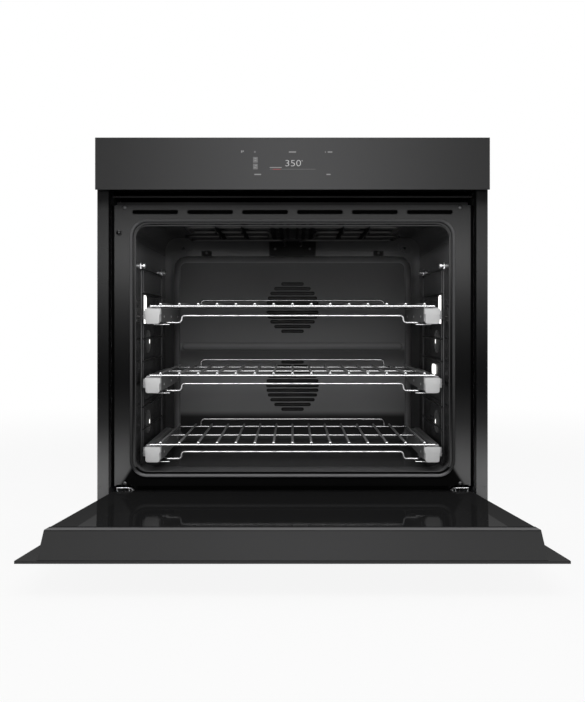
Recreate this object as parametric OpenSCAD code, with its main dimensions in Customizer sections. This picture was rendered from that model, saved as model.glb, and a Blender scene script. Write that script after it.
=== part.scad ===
// Built-in electric wall oven with its door open, three racks on telescopic
// slides and two convection fans. X is to the right, +Y goes into the cabinet
// and Z is up. y = 0 is the cabinet face and z = 0 is the niche floor.

/* [Cavity] */
// Inside width of the cavity
cavity_w = 622; // [580:1:680]
// Inside height of the cavity
cavity_h = 502; // [470:1:560]
// Depth of the cavity behind the front frame
cavity_d = 475; // [450:1:520]
// Thickness of the enamelled liner sheet
liner_t = 1.2; // [0.8:0.1:2]
// Corner radius inside the cavity
cavity_r = 30; // [15:1:45]
// Thickness of the insulation beside, above and behind the cavity
blanket_t = 30; // [20:1:40]
// Thickness of the insulation under the cavity
under_blanket_t = 28; // [20:1:30]

/* [Casing] */
// Thickness of the casing sheet
sheet = 1; // [0.7:0.1:1.5]
// Air gap between the insulation and each side panel
side_air = 16; // [14:1:30]
// Width of the trim on each side outside the casing
trim_w = 19.8; // [12:0.1:28]
// Thickness of the mounting trim
trim_t = 1.5; // [1:0.1:2.5]
// Depth of the motor space behind the insulation
motor_space = 52; // [48:1:80]
// Height of the cooling duct over the insulation
duct_h = 22; // [18:1:30]
// Height of the electronics compartment
compartment_h = 84; // [80:1:110]

/* [Fascia] */
// Height of the control fascia
fascia_h = 100; // [95:1:125]
// Distance from the cabinet face to the front of the glass
stand_out = 23.5; // [20:0.5:28]
// Thickness of the fascia and door glass
glass_t = 4; // [3:0.5:6]
// Width of the touch display
display_w = 175; // [120:1:200]
// Height of the touch display
display_h = 58; // [40:1:64]

/* [Front frame] */
// Thickness of the front frame sheet
frame_t = 1.2; // [0.8:0.1:2]
// Depth of the front frame behind the cabinet face
recess = 23.5; // [20:0.5:30]
// Length of one air slot
slot_l = 90.5; // [60:0.5:98]
// Height of one air slot
slot_h = 8; // [4:0.5:9]
// Width of the door seal
seal_w = 12; // [8:0.5:14]

/* [Door] */
// Thickness of the closed door
door_t = 40.2; // [38:0.1:42]
// How far the door is open in the pose of rest, in degrees
door_open = 85.8; // [80:0.1:88]
// Distance of the hinge pin behind the front of the glass
hinge_in = 34; // [32:0.5:36]
// Height of the hinge pin over the niche floor
hinge_z = 45; // [43:0.5:60]
// Gap between the closed door and the fascia
door_gap = 4.5; // [3:0.5:8]
// Height of the slanted top of the door
cap_slant = 36.5; // [30:0.5:40]
// Radius of the hinge pin
pin_r = 3; // [2.5:0.1:4]

/* [Racks] */
// Height of the lowest rack over the cavity floor
rack_low = 55.6; // [45:0.1:70]
// Height from one rack to the next
rack_pitch = 137.2; // [120:0.1:145]
// Distance between the wires of a rack
wire_pitch = 37.3; // [30:0.1:38]
// Diameter of the rack wires
wire_d = 4.7; // [3.5:0.1:6]
// Depth of a rack from its front rail to its rear rail
rack_d = 330; // [280:1:340]
// How far a rack pulls out
rack_travel = 320; // [200:1:330]
// Width of a slide with its end cap
slide_w = 31.7; // [28:0.1:34]
// Height of a slide end cap
cap_h = 30.5; // [26:0.1:34]

/* [Fans] */
// Radius of a convection fan wheel
fan_r = 66; // [50:1:70]
// Height from the lower fan to the upper fan
fan_pitch = 188.8; // [186:0.1:220]
// Radius of a round grille
grille_r = 63; // [50:1:66]
// Radius of a ring element
ring_r = 84; // [80:1:88]
// Diameter of the element tubes
tube_d = 7; // [6:0.5:9]
// Radius of the cooling blower wheel
blower_r = 30; // [22:1:31]
// Length of the cooling blower wheel
blower_l = 240; // [160:1:280]
// Radius of the conduit hole
conduit_r = 11.1; // [9:0.1:14]

/* [Hidden] */
$fn = 48;
// Clearances
run_gap = 0.05;
fit_gap = 0.1;
seat_gap = 0.3;
swing_gap = 0.5;
eps = 0.02;

// Levels and depths of the body
sill_rise = 37;
cavity_z = hinge_z + sill_rise;
cavity_top = cavity_z + cavity_h;
duct_z = cavity_top + liner_t + blanket_t;
tray_z = duct_z + sheet + duct_h;
roof_z = tray_z + sheet + compartment_h;
frame_back = recess + frame_t;
cavity_y = frame_back + cavity_d;
blanket_y = cavity_y + liner_t + blanket_t;
body_y = blanket_y + motor_space;
blanket_x = cavity_w / 2 + liner_t + blanket_t;
inner_x = blanket_x + side_air;
body_x = inner_x + sheet;
front_x = body_x + trim_w;
body_d = body_y + sheet;

// Front
fascia_drop = 3;
fascia_z = tray_z - fascia_drop;
carrier_z = fascia_z + 4;
frame_x = inner_x - 8;
frame_low = hinge_z + 13.7;
frame_top = cavity_top + 26.7;
mouth_x = cavity_w / 2 - 1;
mouth_z = cavity_z + 4;
mouth_top = cavity_top - 10;
mouth_r = cavity_r - 2;
slot_pitch = slot_l + 17.5;
slot_z = frame_top - 13.7;
slots = 6;
foot_z = hinge_z + 12;
trim_z = hinge_z - 15;
screw_x = front_x - 7.5;
screw_low_z = hinge_z + 15;
screw_high_z = fascia_z - 20;
hole_r = 2.6;
sweep_clear = 6.5;
toe_y = recess + frame_t + sweep_clear + 2.8;
switch_x = -(mouth_x + 31);
switch_z = mouth_top - 17.6;
button_r = 4;

// Door
hinge_y = hinge_in - stand_out;
door_tail = 19;
door_low = hinge_z - door_tail;
door_high = fascia_z - door_gap;
door_x = frame_x - 1;
door_face = -stand_out + glass_t;
door_in = door_t - stand_out;
door_sheet = 1.5;
cap_edge = 3.5;
cap_flange = 34;
cap_base = door_high - cap_edge;
cap_shoulder = cap_base - cap_slant;
inner_glass_top = cap_shoulder - cap_flange;
inner_glass_low = hinge_z + 20;
arm_x = mouth_x + 23;
arm_t = 6;
cheek_t = 2.5;

// Racks and slides
rack_front = frame_back + 11.8;
rack_rows = 15;
slide_out = mouth_x - 17.5;
slide_in = slide_out - slide_w;
rail_h = 28;
rail_t = 1.5;
rail_drop = wire_d / 2 + eps;
cap_drop = 4.6;
cap_d = 14.5;
ladder_x = mouth_x - 8;
ladder_d = 4;
ladder_front = rack_front + 15;
ladder_back = rack_front + rack_d - 6;
function rack_z(i) = cavity_z + rack_low + rack_pitch * (3 - i);

// Fans and elements
fan_low_z = cavity_z + cavity_h / 2 - fan_pitch / 2 - 13.5;
function fan_z(i) = fan_low_z + fan_pitch * i;
baffle_gap = 23.5;
baffle_y = cavity_y - baffle_gap;
baffle_x = cavity_w / 2 - 21.5;
baffle_top = cavity_top - 44;
broil_z = cavity_top - 20.3;
shaft_r = 4;
blower_y = cavity_y - 60;
blower_z = tray_z + sheet + blower_r + 8;
lamp_r = 20;
lamp_in = 175;
lamp_y = frame_back + lamp_in;
lamp_levels = [1.5, 2.75];
function lamp_z(k) = rack_z(lamp_levels[k]) - wire_d;

// Shared shapes

// Box from its low and high corner
module block(low, high) {
    translate(low) cube(high - low);
}

// Profile in Y and Z, carried across the width
module across(w) {
    rotate([90, 0, 90]) translate([0, 0, -w / 2]) linear_extrude(w) children();
}

// Profile in X and Z, carried from one depth to another
module inward(y0, y1) {
    translate([0, y1, 0]) rotate([90, 0, 0]) linear_extrude(y1 - y0) children();
}

// Rectangle in X and Z with round corners
module round_rect(x, z0, z1, r) {
    translate([-x, z0 + r]) square([2 * x, z1 - z0 - 2 * r]);
    translate([-x + r, z0]) square([2 * x - 2 * r, z1 - z0]);
    for (cx = [-x + r, x - r], cz = [z0 + r, z1 - r]) translate([cx, cz]) circle(r);
}

// Slot with round ends, along X
module slot(l, h) {
    square([l - h, h], center = true);
    for (s = [-1, 1]) translate([s * (l - h) / 2, 0]) circle(d = h);
}

// Round bar from one point to another
module rod(p, q, d) {
    v = q - p;
    translate(p) rotate([0, acos(v[2] / norm(v)), atan2(v[1], v[0])])
        cylinder(h = norm(v), d = d);
}

// Bent wire through a list of points, with a ball a little thicker at each bend
module wire(points, d) {
    for (i = [0:len(points) - 2]) rod(points[i], points[i + 1], d);
    for (i = [1:len(points) - 2]) translate(points[i]) sphere(d = d + 0.2);
}

// Cylinder along Y
module along_y(r, y0, y1) {
    translate([0, y1, 0]) rotate([90, 0, 0]) cylinder(r = r, h = y1 - y0);
}

// Cylinder along X
module along_x(r, x0, x1) {
    translate([x0, 0, 0]) rotate([0, 90, 0]) cylinder(r = r, h = x1 - x0);
}

// One copy on each side
module both_sides() {
    children();
    mirror([1, 0, 0]) children();
}

// Casing

carrier_x = blanket_x - 140;
carrier_w = 40;
carrier_in = 20;
upstand_z = hinge_z - 10;
under_z = cavity_z - liner_t - 14;
blanket_low = under_z - under_blanket_t;

// Floor with a front upstand behind the swing of the door, and two carriers
module chassis_base() {
    color("silver") {
        block([-inner_x, toe_y, 0], [inner_x, body_y, sheet]);
        block([-inner_x, toe_y, 0], [inner_x, toe_y + sheet, upstand_z]);
        for (s = [-1, 1]) translate([s * carrier_x, 0, 0]) 
            inward(toe_y + carrier_in, body_y - carrier_in) difference() {
                translate([-carrier_w / 2, sheet]) square([carrier_w, blanket_low - sheet]);
                translate([-carrier_w / 2 + sheet, 0])
                    square([carrier_w - 2 * sheet, blanket_low - sheet]);
            }
    }
}

// Side panels, cut back at the foot where the door swings under
module side_panels() {
    color("silver") both_sides() translate([inner_x + sheet / 2, 0, 0]) across(sheet)
        polygon([[0, trim_z], [toe_y, trim_z], [toe_y, 0], [body_y, 0],
            [body_y, roof_z], [0, roof_z]]);
}

module top_cover() {
    color("silver") block([-body_x, 0, roof_z], [body_x, body_y, roof_z + sheet]);
}

terminal_x = inner_x - 70;
terminal_z = tray_z + sheet + 42;

module rear_cover() {
    color("silver") difference() {
        block([-body_x, body_y, 0], [body_x, body_d, roof_z + sheet]);
        translate([terminal_x, 0, terminal_z])
            along_y(conduit_r + 4 + fit_gap, body_y - 1, body_d + 1);
    }
}

// Strip that lies on the cabinet, relieved over the edge of the side panel
module mounting_trim() {
    high = carrier_z - seat_gap;
    color("dimgray") both_sides() difference() {
        union() {
            block([inner_x - sheet, -trim_t, trim_z], [front_x, -seat_gap, high]);
            block([body_x + seat_gap, -trim_t, trim_z], [front_x, 0, high]);
            block([inner_x - sheet, -trim_t, foot_z], [inner_x, frame_back, tray_z - seat_gap]);
        }
        for (z = [screw_low_z, screw_high_z]) translate([screw_x, 0, z])
            along_y(hole_r, -trim_t - 1, 1);
    }
}

// Front of the cavity

// Sheet with the mouth and the air slots, folded back at its sides and sill
module front_frame() {
    color("dimgray") difference() {
        union() {
            block([-frame_x, recess, frame_low], [frame_x, frame_back, frame_top]);
            both_sides() {
                block([frame_x - frame_t, recess, frame_low], [frame_x, recess + 14, frame_top]);
                block([frame_x - frame_t, recess + 14 - frame_t, frame_low],
                    [inner_x - fit_gap, recess + 14, frame_top]);
            }
            block([-sill_x, recess, frame_low], [sill_x, sill_y, frame_low + frame_t]);
            block([-sill_x, sill_y - frame_t, sill_z], [sill_x, sill_y, frame_low + frame_t]);
        }
        inward(recess - 1, frame_back + 1) round_rect(mouth_x, mouth_z, mouth_top, mouth_r);
        for (i = [0:slots - 1])
            translate([(i - (slots - 1) / 2) * slot_pitch, 0, slot_z])
                inward(recess - 1, frame_back + 1) slot(slot_l, slot_h);
        translate([switch_x, 0, switch_z]) along_y(button_r + 0.2, recess - 1, frame_back + 1);
        for (x = frame_screw_x, z = frame_screw_z)
            translate([x, 0, z]) along_y(2, recess - 1, frame_back + 1);
        for (s = [-1, 1]) translate([s * arm_x, 0, 0])
            block([-clamp_x - clamp_d, recess - 1, frame_low - 1],
                [clamp_x + clamp_d, frame_back + 1, hinge_z + clamp_sweep + swing_gap]);
    }
}

sill_x = arm_x - 16;
sill_y = recess + 13.5;
sill_z = hinge_z - 4;
frame_screw_x = [-frame_x + 20, frame_x - 20];
frame_screw_z = [frame_low + 5, frame_top - 4.5];

module frame_screws() {
    color("silver") for (x = frame_screw_x, z = frame_screw_z) translate([x, 0, z]) {
        along_y(1.9, recess - 0.2, frame_back + 8);
        along_y(3.6, recess - 2, recess);
    }
}

// Braided seal round the mouth, squeezed by the closed door
module door_seal() {
    seal_t = recess - door_in - seat_gap;
    out = seal_w - 4;
    color("black") inward(recess - seal_t, recess) difference() {
        round_rect(mouth_x + out, mouth_z - out, mouth_top + out, mouth_r + out);
        round_rect(mouth_x - 1, mouth_z + 1, mouth_top - 1, mouth_r - 1);
    }
}

module cavity_liner() {
    color([0.2, 0.2, 0.22]) difference() {
        inward(frame_back, cavity_y + liner_t)
            round_rect(cavity_w / 2 + liner_t, cavity_z - liner_t, cavity_top + liner_t,
                cavity_r + liner_t);
        inward(frame_back - 1, cavity_y)
            round_rect(cavity_w / 2, cavity_z, cavity_top, cavity_r);
        for (i = [0, 1]) translate([0, 0, fan_z(i)])
            along_y(shaft_r + 2, cavity_y - 1, cavity_y + liner_t + 1);
        for (s = [-1, 1], k = [0, 1]) translate([0, lamp_y, lamp_z(k)])
            along_x(lamp_r, s * (cavity_w / 2 + liner_t / 2) - 3, s * (cavity_w / 2 + liner_t / 2) + 3);
        for (s = [-1, 1]) translate([s * broil_leg, 0, broil_z])
            along_y(tube_d / 2 + fit_gap, cavity_y - 1, cavity_y + liner_t + 1);
        for (i = [0, 1], s = [-1, 1]) translate([s * ring_leg, 0, fan_z(i) - ring_r])
            along_y(tube_d / 2 + fit_gap, cavity_y - 1, cavity_y + liner_t + 1);
        translate([sensor_x, 0, sensor_z])
            along_y(3 + fit_gap, cavity_y - 1, cavity_y + liner_t + 1);
        translate([probe_x, 0, probe_z])
            along_y(9, cavity_y - 1, cavity_y + liner_t + 1);
        for (s = [-1, 1], y = knob_y) translate([0, y, knob_z])
            along_x(3 + fit_gap, s * (cavity_w / 2 + liner_t / 2) - 3,
                s * (cavity_w / 2 + liner_t / 2) + 3);
    }
}

// Blanket wrapped round the liner, open at the front
module insulation() {
    liner_x = cavity_w / 2 + liner_t + fit_gap;
    front = frame_back + 14;
    pan_x = blanket_x - 60;
    pan_h = 30;
    side_mid = blanket_x - blanket_t / 2;
    color("khaki") difference() {
        union() {
            block([-blanket_x, front, under_z - 4], [blanket_x, blanket_y, duct_z]);
            block([-pan_x - 20, front, blanket_low], [pan_x + 20, blanket_y, under_z]);
        }
        inward(frame_back, cavity_y + liner_t + fit_gap) {
            round_rect(liner_x, cavity_z - liner_t - fit_gap, cavity_top + liner_t + fit_gap,
                cavity_r + liner_t);
            translate([-pan_x, under_z]) square([2 * pan_x, pan_h]);
        }
        both_sides() block([arm_x - 16, frame_back, blanket_low],
            [blanket_x + 1, arm_end + 2, hinge_z + 26]);
        for (s = [-1, 1], k = [0, 1]) translate([0, lamp_y, lamp_z(k)])
            along_x(lamp_r + 1, s * side_mid - blanket_t, s * side_mid + blanket_t);
        for (i = [0, 1]) translate([0, 0, fan_z(i)])
            along_y(shaft_r + 5, cavity_y - 1, blanket_y + 1);
        for (s = [-1, 1]) translate([s * broil_leg, 0, broil_z])
            along_y(tube_d / 2 + 2, cavity_y - 1, blanket_y + 1);
        for (i = [0, 1], s = [-1, 1]) translate([s * ring_leg, 0, fan_z(i) - ring_r])
            along_y(tube_d / 2 + 2, cavity_y - 1, blanket_y + 1);
        for (s = [-1, 1]) translate([s * bake_leg, 0, under_z + 7])
            along_y(tube_d / 2 + 2, cavity_y - 1, blanket_y + 1);
        translate([sensor_x, 0, sensor_z]) along_y(9, cavity_y - 1, blanket_y + 1);
        translate([probe_x, 0, probe_z]) along_y(12, cavity_y - 1, blanket_y + 1);
        for (s = [-1, 1], y = knob_y) translate([0, y, knob_z])
            along_x(7, s * side_mid - blanket_t, s * side_mid + blanket_t);
    }
}

// Stepped rear panel in front of both fans, with two round grilles
module fan_baffle() {
    low = cavity_z + 6;
    wall = liner_t;
    rib_h = 10;
    rib_in = 30;
    rows = 11;
    row_pitch = 2 * grille_r / rows;
    color([0.16, 0.16, 0.18]) difference() {
        union() {
            difference() {
                inward(baffle_y, cavity_y)
                    round_rect(baffle_x, low, baffle_top, cavity_r);
                inward(baffle_y + wall, cavity_y + 1)
                    round_rect(baffle_x - wall, low + wall, baffle_top - wall, cavity_r - wall);
            }
            translate([0, 0, (fan_z(0) + fan_z(1)) / 2])
                inward(baffle_y - 3, baffle_y) slot(2 * (baffle_x - rib_in), rib_h);
        }
        for (i = [0, 1], k = [0:rows - 1]) {
            off = (k - (rows - 1) / 2) * row_pitch;
            half = sqrt(max(grille_r * grille_r - off * off, 400));
            translate([0, 0, fan_z(i) + off]) inward(baffle_y - 4, baffle_y + wall + 1)
                slot(2 * half, row_pitch * 0.52);
        }
    }
}

// Heating

broil_leg = 20;
bake_leg = 40;
ring_leg = 8;
broil_bars = [0.72, 0.69];
broil_y = [frame_back + 43, frame_back + 155, frame_back + 267, frame_back + 379];
knob_y = [ladder_front, ladder_back];
knob_z = rack_z(1) + 80.6;
sensor_x = -baffle_x + 24;
sensor_z = baffle_top + 18;
probe_x = baffle_x - 16;
probe_z = baffle_top + 19;

// Half of the serpentine, from its terminal to the middle of the front bar
module broil_half() {
    turn = 60;
    far = mouth_x * broil_bars[0];
    near = mouth_x * broil_bars[1];
    wire([[broil_leg, blanket_y + 12, broil_z], [broil_leg, broil_y[3], broil_z],
        [far, broil_y[3], broil_z], [far, broil_y[2], broil_z], [turn, broil_y[2], broil_z],
        [turn, broil_y[1], broil_z], [near, broil_y[1], broil_z], [near, broil_y[0], broil_z],
        [0, broil_y[0], broil_z]], tube_d);
}

module broil_element() {
    color("dimgray") {
        both_sides() broil_half();
        translate([0, broil_y[0], broil_z]) sphere(d = tube_d);
    }
}

// Cover over the element's terminals, with the hangers on the ceiling
module broil_terminal_cover() {
    hanger = broil_z - tube_d / 2 - 2.2;
    wall = liner_t;
    x = 56;
    front = cavity_y - 30;
    low = baffle_top + 0.5;
    high = baffle_top + 34;
    bracket_x = 210;
    color([0.12, 0.12, 0.13]) {
        difference() {
            block([-x, front, low], [x, cavity_y, high]);
            block([wall - x, front + wall, low - 1], [x - wall, cavity_y + 1, high - wall]);
            for (s = [-1, 1]) translate([s * broil_leg, 0, broil_z])
                along_y(tube_d / 2 + fit_gap, front - 1, front + 10);
        }
        for (x = [-154, -102, 102, 154], y = [broil_y[0], broil_y[1]])
            translate([x, y, 0]) {
                block([-1, -14, hanger], [1, 14, broil_z - tube_d / 2 - fit_gap]);
                for (s = [-1, 1]) block([-1, s * 12 - 2, hanger], [1, s * 12 + 2, cavity_top]);
            }
        for (s = [-1, 1]) translate([s * bracket_x, 0, 0])
            block([-12, cavity_y - 8, low], [12, cavity_y, low + 11.5]);
    }
}

// Hidden element under the cavity floor
module bake_element() {
    z = under_z + 7;
    x = blanket_x - 90;
    color("dimgray") both_sides() {
        wire([[bake_leg, blanket_y + 12, z], [bake_leg, cavity_y - 40, z], [x, cavity_y - 40, z],
            [x, frame_back + 60, z], [x - 60, frame_back + 60, z],
            [x - 60, cavity_y - 100, z], [80, cavity_y - 100, z], [80, frame_back + 60, z],
            [0, frame_back + 60, z]], tube_d);
        for (y = [frame_back + 100, cavity_y - 140])
            block([x - 62, y, under_z + 0.1], [x + 2, y + 2, z - tube_d / 2 + 0.4]);
    }
}

module ring_elements() {
    ring_y = baffle_y + baffle_gap / 2 + 1;
    color("dimgray") for (i = [0, 1]) translate([0, ring_y, fan_z(i)]) {
        difference() {
            rotate([90, 0, 0]) rotate_extrude() translate([ring_r, 0]) circle(d = tube_d);
            block([-ring_leg, -tube_d, -ring_r - tube_d], [ring_leg, tube_d, -ring_r + tube_d]);
        }
        for (s = [-1, 1]) translate([s * ring_leg, 0, -ring_r])
            along_y(tube_d / 2, 0, blanket_y + 8 - ring_y);
    }
}

// Motors

module fan_wheel(i) {
    blades = 10;
    hub_r = 11;
    plate_y = baffle_y + liner_t + 4;
    blade_w = 11;
    color("gray") translate([0, 0, fan_z(i)]) {
        along_y(shaft_r, plate_y, blanket_y + 26);
        along_y(hub_r, plate_y - 1, plate_y + blade_w);
        along_y(fan_r, plate_y, plate_y + 1.2);
        for (b = [0:blades - 1]) rotate([0, b * 360 / blades, 0])
            block([-0.6, plate_y + 1, fan_r * 0.42], [0.6, plate_y + blade_w, fan_r - 1]);
    }
}

module fan_wheel_upper() fan_wheel(1);

module fan_wheel_lower() fan_wheel(0);

module fan_motors() {
    plate_t = 2;
    plate_w = 120;
    body_r = 36;
    bearing_r = 9;
    end = blanket_y + motor_space - 10;
    color("silver") for (i = [0, 1]) translate([0, 0, fan_z(i)]) difference() {
        union() {
            inward(blanket_y, blanket_y + plate_t) square(plate_w, center = true);
            along_y(body_r, blanket_y + plate_t, end);
            along_y(bearing_r, end, end + 6);
        }
        along_y(shaft_r + run_gap, blanket_y - 1, blanket_y + 28);
        for (s = [-1, 1]) translate([s * ring_leg, 0, -ring_r])
            along_y(tube_d / 2 + 1, blanket_y - 1, blanket_y + 4);
    }
}

blower_end = blower_l / 2 + 4;

module blower_wheel() {
    blades = 18;
    color("gainsboro") translate([0, blower_y, blower_z]) {
        along_x(shaft_r, -blower_end - 6, blower_end + 30);
        for (x = [-blower_l / 2, -1, blower_l / 2 - 2]) along_x(blower_r, x, x + 2);
        for (b = [0:blades - 1]) rotate([b * 360 / blades, 0, 0])
            block([-blower_l / 2, -0.5, blower_r - 8], [blower_l / 2, 0.5, blower_r - 0.5]);
    }
}

// Scroll round the blower wheel, open to the duct below and to the air in front
module blower_housing() {
    wall = 1.5;
    out = blower_r + 8;
    low = tray_z + sheet - blower_z;
    color("silver") translate([0, blower_y, blower_z]) {
        across(2 * blower_end) difference() {
            union() {
                circle(out);
                translate([-out, low]) square([2 * out, -low]);
            }
            circle(blower_r + 4);
            translate([-blower_r - 4, low - 1]) square([2 * blower_r - 10, 1 - low]);
            rotate(100) square([out + 5, out * 0.9]);
        }
        for (s = [-1, 1]) translate([s * (blower_end + wall / 2), 0, 0]) difference() {
            across(wall) union() {
                circle(out);
                translate([-out, low]) square([2 * out, -low]);
            }
            along_x(shaft_r + run_gap, -wall, wall);
        }
    }
}

module blower_motor() {
    face = blower_end + 1.5;
    color("dimgray") translate([0, blower_y, blower_z]) difference() {
        union() {
            along_x(26, face, face + 46);
            block([face, -30, tray_z + sheet - blower_z], [face + 3, 30, 0]);
        }
        along_x(shaft_r + run_gap, face - 1, face + 32);
    }
}

// Duct under the electronics tray, from the blower to the front outlet
module air_duct() {
    wall_x = frame_x - 5;
    duct_tail = 20;
    rear = blower_y + blower_r + duct_tail;
    color("silver") {
        block([-wall_x, frame_back + 1, duct_z], [wall_x, rear, duct_z + sheet]);
        block([-wall_x, frame_back, frame_top - 2], [wall_x, frame_back + 1, duct_z + sheet]);
        both_sides()
            block([wall_x - sheet, lip_y + lip_d + seat_gap, duct_z + sheet], [wall_x, rear, tray_z]);
        block([-wall_x + sheet, rear - sheet, duct_z + sheet], [wall_x - sheet, rear, tray_z]);
        difference() {
            block([-inner_x, 2, tray_z], [inner_x, body_y, tray_z + sheet]);
            block([-blower_l / 2, blower_y - blower_r - 2, tray_z - 1],
                [blower_l / 2, blower_y + blower_r - 16, tray_z + 2]);
        }
    }
}

lip_y = recess + 0.5;
lip_d = 36;

// Lip that turns the cooling air down, with a bracket at each end
module outlet_lip() {
    lip_x = frame_x + 4;
    lip_z = tray_z - 11;
    color("dimgray") {
        block([-lip_x, lip_y, lip_z], [lip_x, lip_y + lip_d, lip_z + sheet]);
        block([-lip_x, lip_y, lip_z - 2], [lip_x, lip_y + sheet, lip_z + 1.5]);
        both_sides() translate([lip_x - sheet / 2, 0, 0]) across(sheet)
            polygon([[lip_y + 1, lip_z], [lip_y + lip_d, lip_z], [lip_y + lip_d, tray_z],
                [lip_y + 9, tray_z]]);
    }
}

// Control fascia

display_x = -6;
display_z = fascia_z + fascia_h / 2;

module fascia_glass() {
    color([0.26, 0.26, 0.27])
        block([-front_x, -stand_out, fascia_z], [front_x, -stand_out + glass_t, fascia_z + fascia_h]);
}

module fascia_carrier() {
    wall = 1.2;
    out = front_x - 13;
    low = carrier_z;
    high = fascia_z + fascia_h - 3;
    window_x = display_w / 2 + 3;
    window_z = display_h / 2 + 3;
    color("silver") difference() {
        block([-out, door_face, low], [out, 0, high]);
        block([-out + wall, door_face + wall, low + wall], [out - wall, -wall, high - wall]);
        block([-inner_x + 6, -wall - 1, low + wall], [inner_x - 6, 1, high - wall]);
        block([display_x - window_x, door_face - 1, display_z - window_z],
            [display_x + window_x, door_face + wall + 1, display_z + window_z]);
    }
}

module display_module() {
    color("black") block([display_x - display_w / 2, door_face, display_z - display_h / 2],
        [display_x + display_w / 2, door_face + 9, display_z + display_h / 2]);
}

// Control board behind the display and power board on the tray
module circuit_boards() {
    board = 1.6;
    front = door_face + 9;
    half_x = display_w / 2 - 4;
    half_z = display_h / 2 - 5;
    chip = 9;
    chip_t = 2.5;
    power = [-inner_x + 30, frame_back + 120, tray_z + sheet];
    color("darkgreen") {
        block([display_x - half_x, front, display_z - half_z],
            [display_x + half_x, front + board, display_z + half_z]);
        for (k = [-1, 0, 1]) block([display_x + k * half_x / 2 - chip, front + board, display_z - chip],
            [display_x + k * half_x / 2 + chip, front + board + chip_t, display_z + chip]);
        translate(power) {
            block([0, 0, 8], [150, 120, 8 + board]);
            for (x = [8, 142], y = [8, 112]) translate([x, y, 0]) cylinder(r = 3, h = 8);
            for (k = [0:3]) block([20 + k * 30, 16, 8 + board], [40 + k * 30, 44, 26]);
            for (k = [0:2]) translate([35 + k * 26, 84, 8 + board]) cylinder(r = 9, h = 30);
        }
    }
}

// Junction box with the gland for the conduit
module terminal_box() {
    color("silver") difference() {
        union() {
            block([terminal_x - 38, body_y - 62, tray_z + sheet],
                [terminal_x + 38, body_y, terminal_z + 32]);
            translate([terminal_x, 0, terminal_z]) along_y(conduit_r + 4, body_y - 4, body_d);
        }
        block([terminal_x - 36.8, body_y - 60.8, tray_z + sheet + 1.2],
            [terminal_x + 36.8, body_y - 4, terminal_z + 30.8]);
        translate([terminal_x, 0, terminal_z]) along_y(conduit_r, body_y - 5, body_d + 1);
    }
}

// Lamps and sensors

// Children once for each lamp, with X running out through the right-hand wall
module at_lamps() {
    both_sides() for (k = [0, 1]) translate([cavity_w / 2, lamp_y, lamp_z(k)]) children();
}

module lamp_lenses() {
    color("lightcyan") at_lamps() {
        along_x(lamp_r + 4, -3, 0);
        along_x(lamp_r - 0.5, -4.5, -3);
    }
}

module lamp_holders() {
    depth = liner_t + blanket_t - 2;
    color("whitesmoke") at_lamps() difference() {
        along_x(lamp_r + 0.5, liner_t, depth);
        along_x(lamp_r - 1.5, liner_t - 1, depth - 2);
    }
}

module lamp_bulbs() {
    depth = liner_t + blanket_t - 4;
    color("white") at_lamps() {
        along_x(6, liner_t + 3, depth - 6);
        along_x(4, depth - 6, depth);
    }
}

module temperature_sensor() {
    color("silver") translate([sensor_x, 0, sensor_z]) {
        along_y(3, cavity_y - 55, blanket_y - 10);
        along_y(8, cavity_y - 2, cavity_y);
    }
}

module probe_socket() {
    color("gray") translate([probe_x, 0, probe_z]) difference() {
        union() {
            rotate([0, 35, 0]) inward(cavity_y - 2, cavity_y) slot(34, 18);
            along_y(8, cavity_y - 6, blanket_y - 8);
        }
        along_y(3.2, cavity_y - 7, cavity_y + 20);
    }
}

// Side racks and slides

module side_ladders() {
    low = rack_z(3) - cap_drop - cap_h - 8;
    high = knob_z - 4 - ladder_d / 2 - fit_gap;
    runner = cap_drop + cap_h / 2;
    color("gainsboro") both_sides() translate([ladder_x, 0, 0]) {
        for (y = [ladder_front, ladder_front + 23, ladder_back])
            rod([0, y, low], [0, y, high], ladder_d);
        for (z = [low, high]) wire([[0, ladder_front - 8, z], [0, ladder_back + 8, z]], ladder_d);
        for (k = [0:7])
            rod([0, ladder_front, rack_z(3) - runner + k * rack_pitch / 3],
                [0, ladder_back, rack_z(3) - runner + k * rack_pitch / 3], ladder_d);
    }
}

module ladder_knobs() {
    color("gainsboro") both_sides() for (y = knob_y) translate([0, y, knob_z]) {
        along_x(4, ladder_x - 10, cavity_w / 2);
        along_x(3, cavity_w / 2, cavity_w / 2 + liner_t + 8);
    }
}

rail_y = rack_front + 1 + cap_d;
rail_back = rack_front + rack_d;

// Channel 28 high that opens towards the other rail of its pair
module channel(x0, x1, low, y0, y1, web_side) {
    web_x = web_side > 0 ? x1 - rail_t : x0;
    block([web_x, y0, low], [web_x + rail_t, y1, low + rail_h]);
    for (z = [low, low + rail_h - rail_t]) block([x0, y0, z], [x1, y1, z + rail_t]);
}

module slide_rails_fixed() {
    color("silver") for (i = [1:3]) {
        low = rack_z(i) - rail_drop - rail_h;
        both_sides() {
            channel(slide_out - 11, slide_out, low, rail_y + 8, rail_back, 1);
            for (y = [ladder_front + 12, ladder_back - 14])
                block([slide_out, y, low + 4], [ladder_x - ladder_d / 2 - fit_gap, y + 10, low + 22]);
        }
    }
}

module slide_inner(i) {
    low = rack_z(i) - rail_drop - rail_h;
    color("silver") both_sides()
        channel(slide_in + 1.7, slide_in + 11.2, low, rail_y, rail_back, -1);
}

module slide_inner_1() slide_inner(1);

module slide_inner_2() slide_inner(2);

module slide_inner_3() slide_inner(3);

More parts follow.
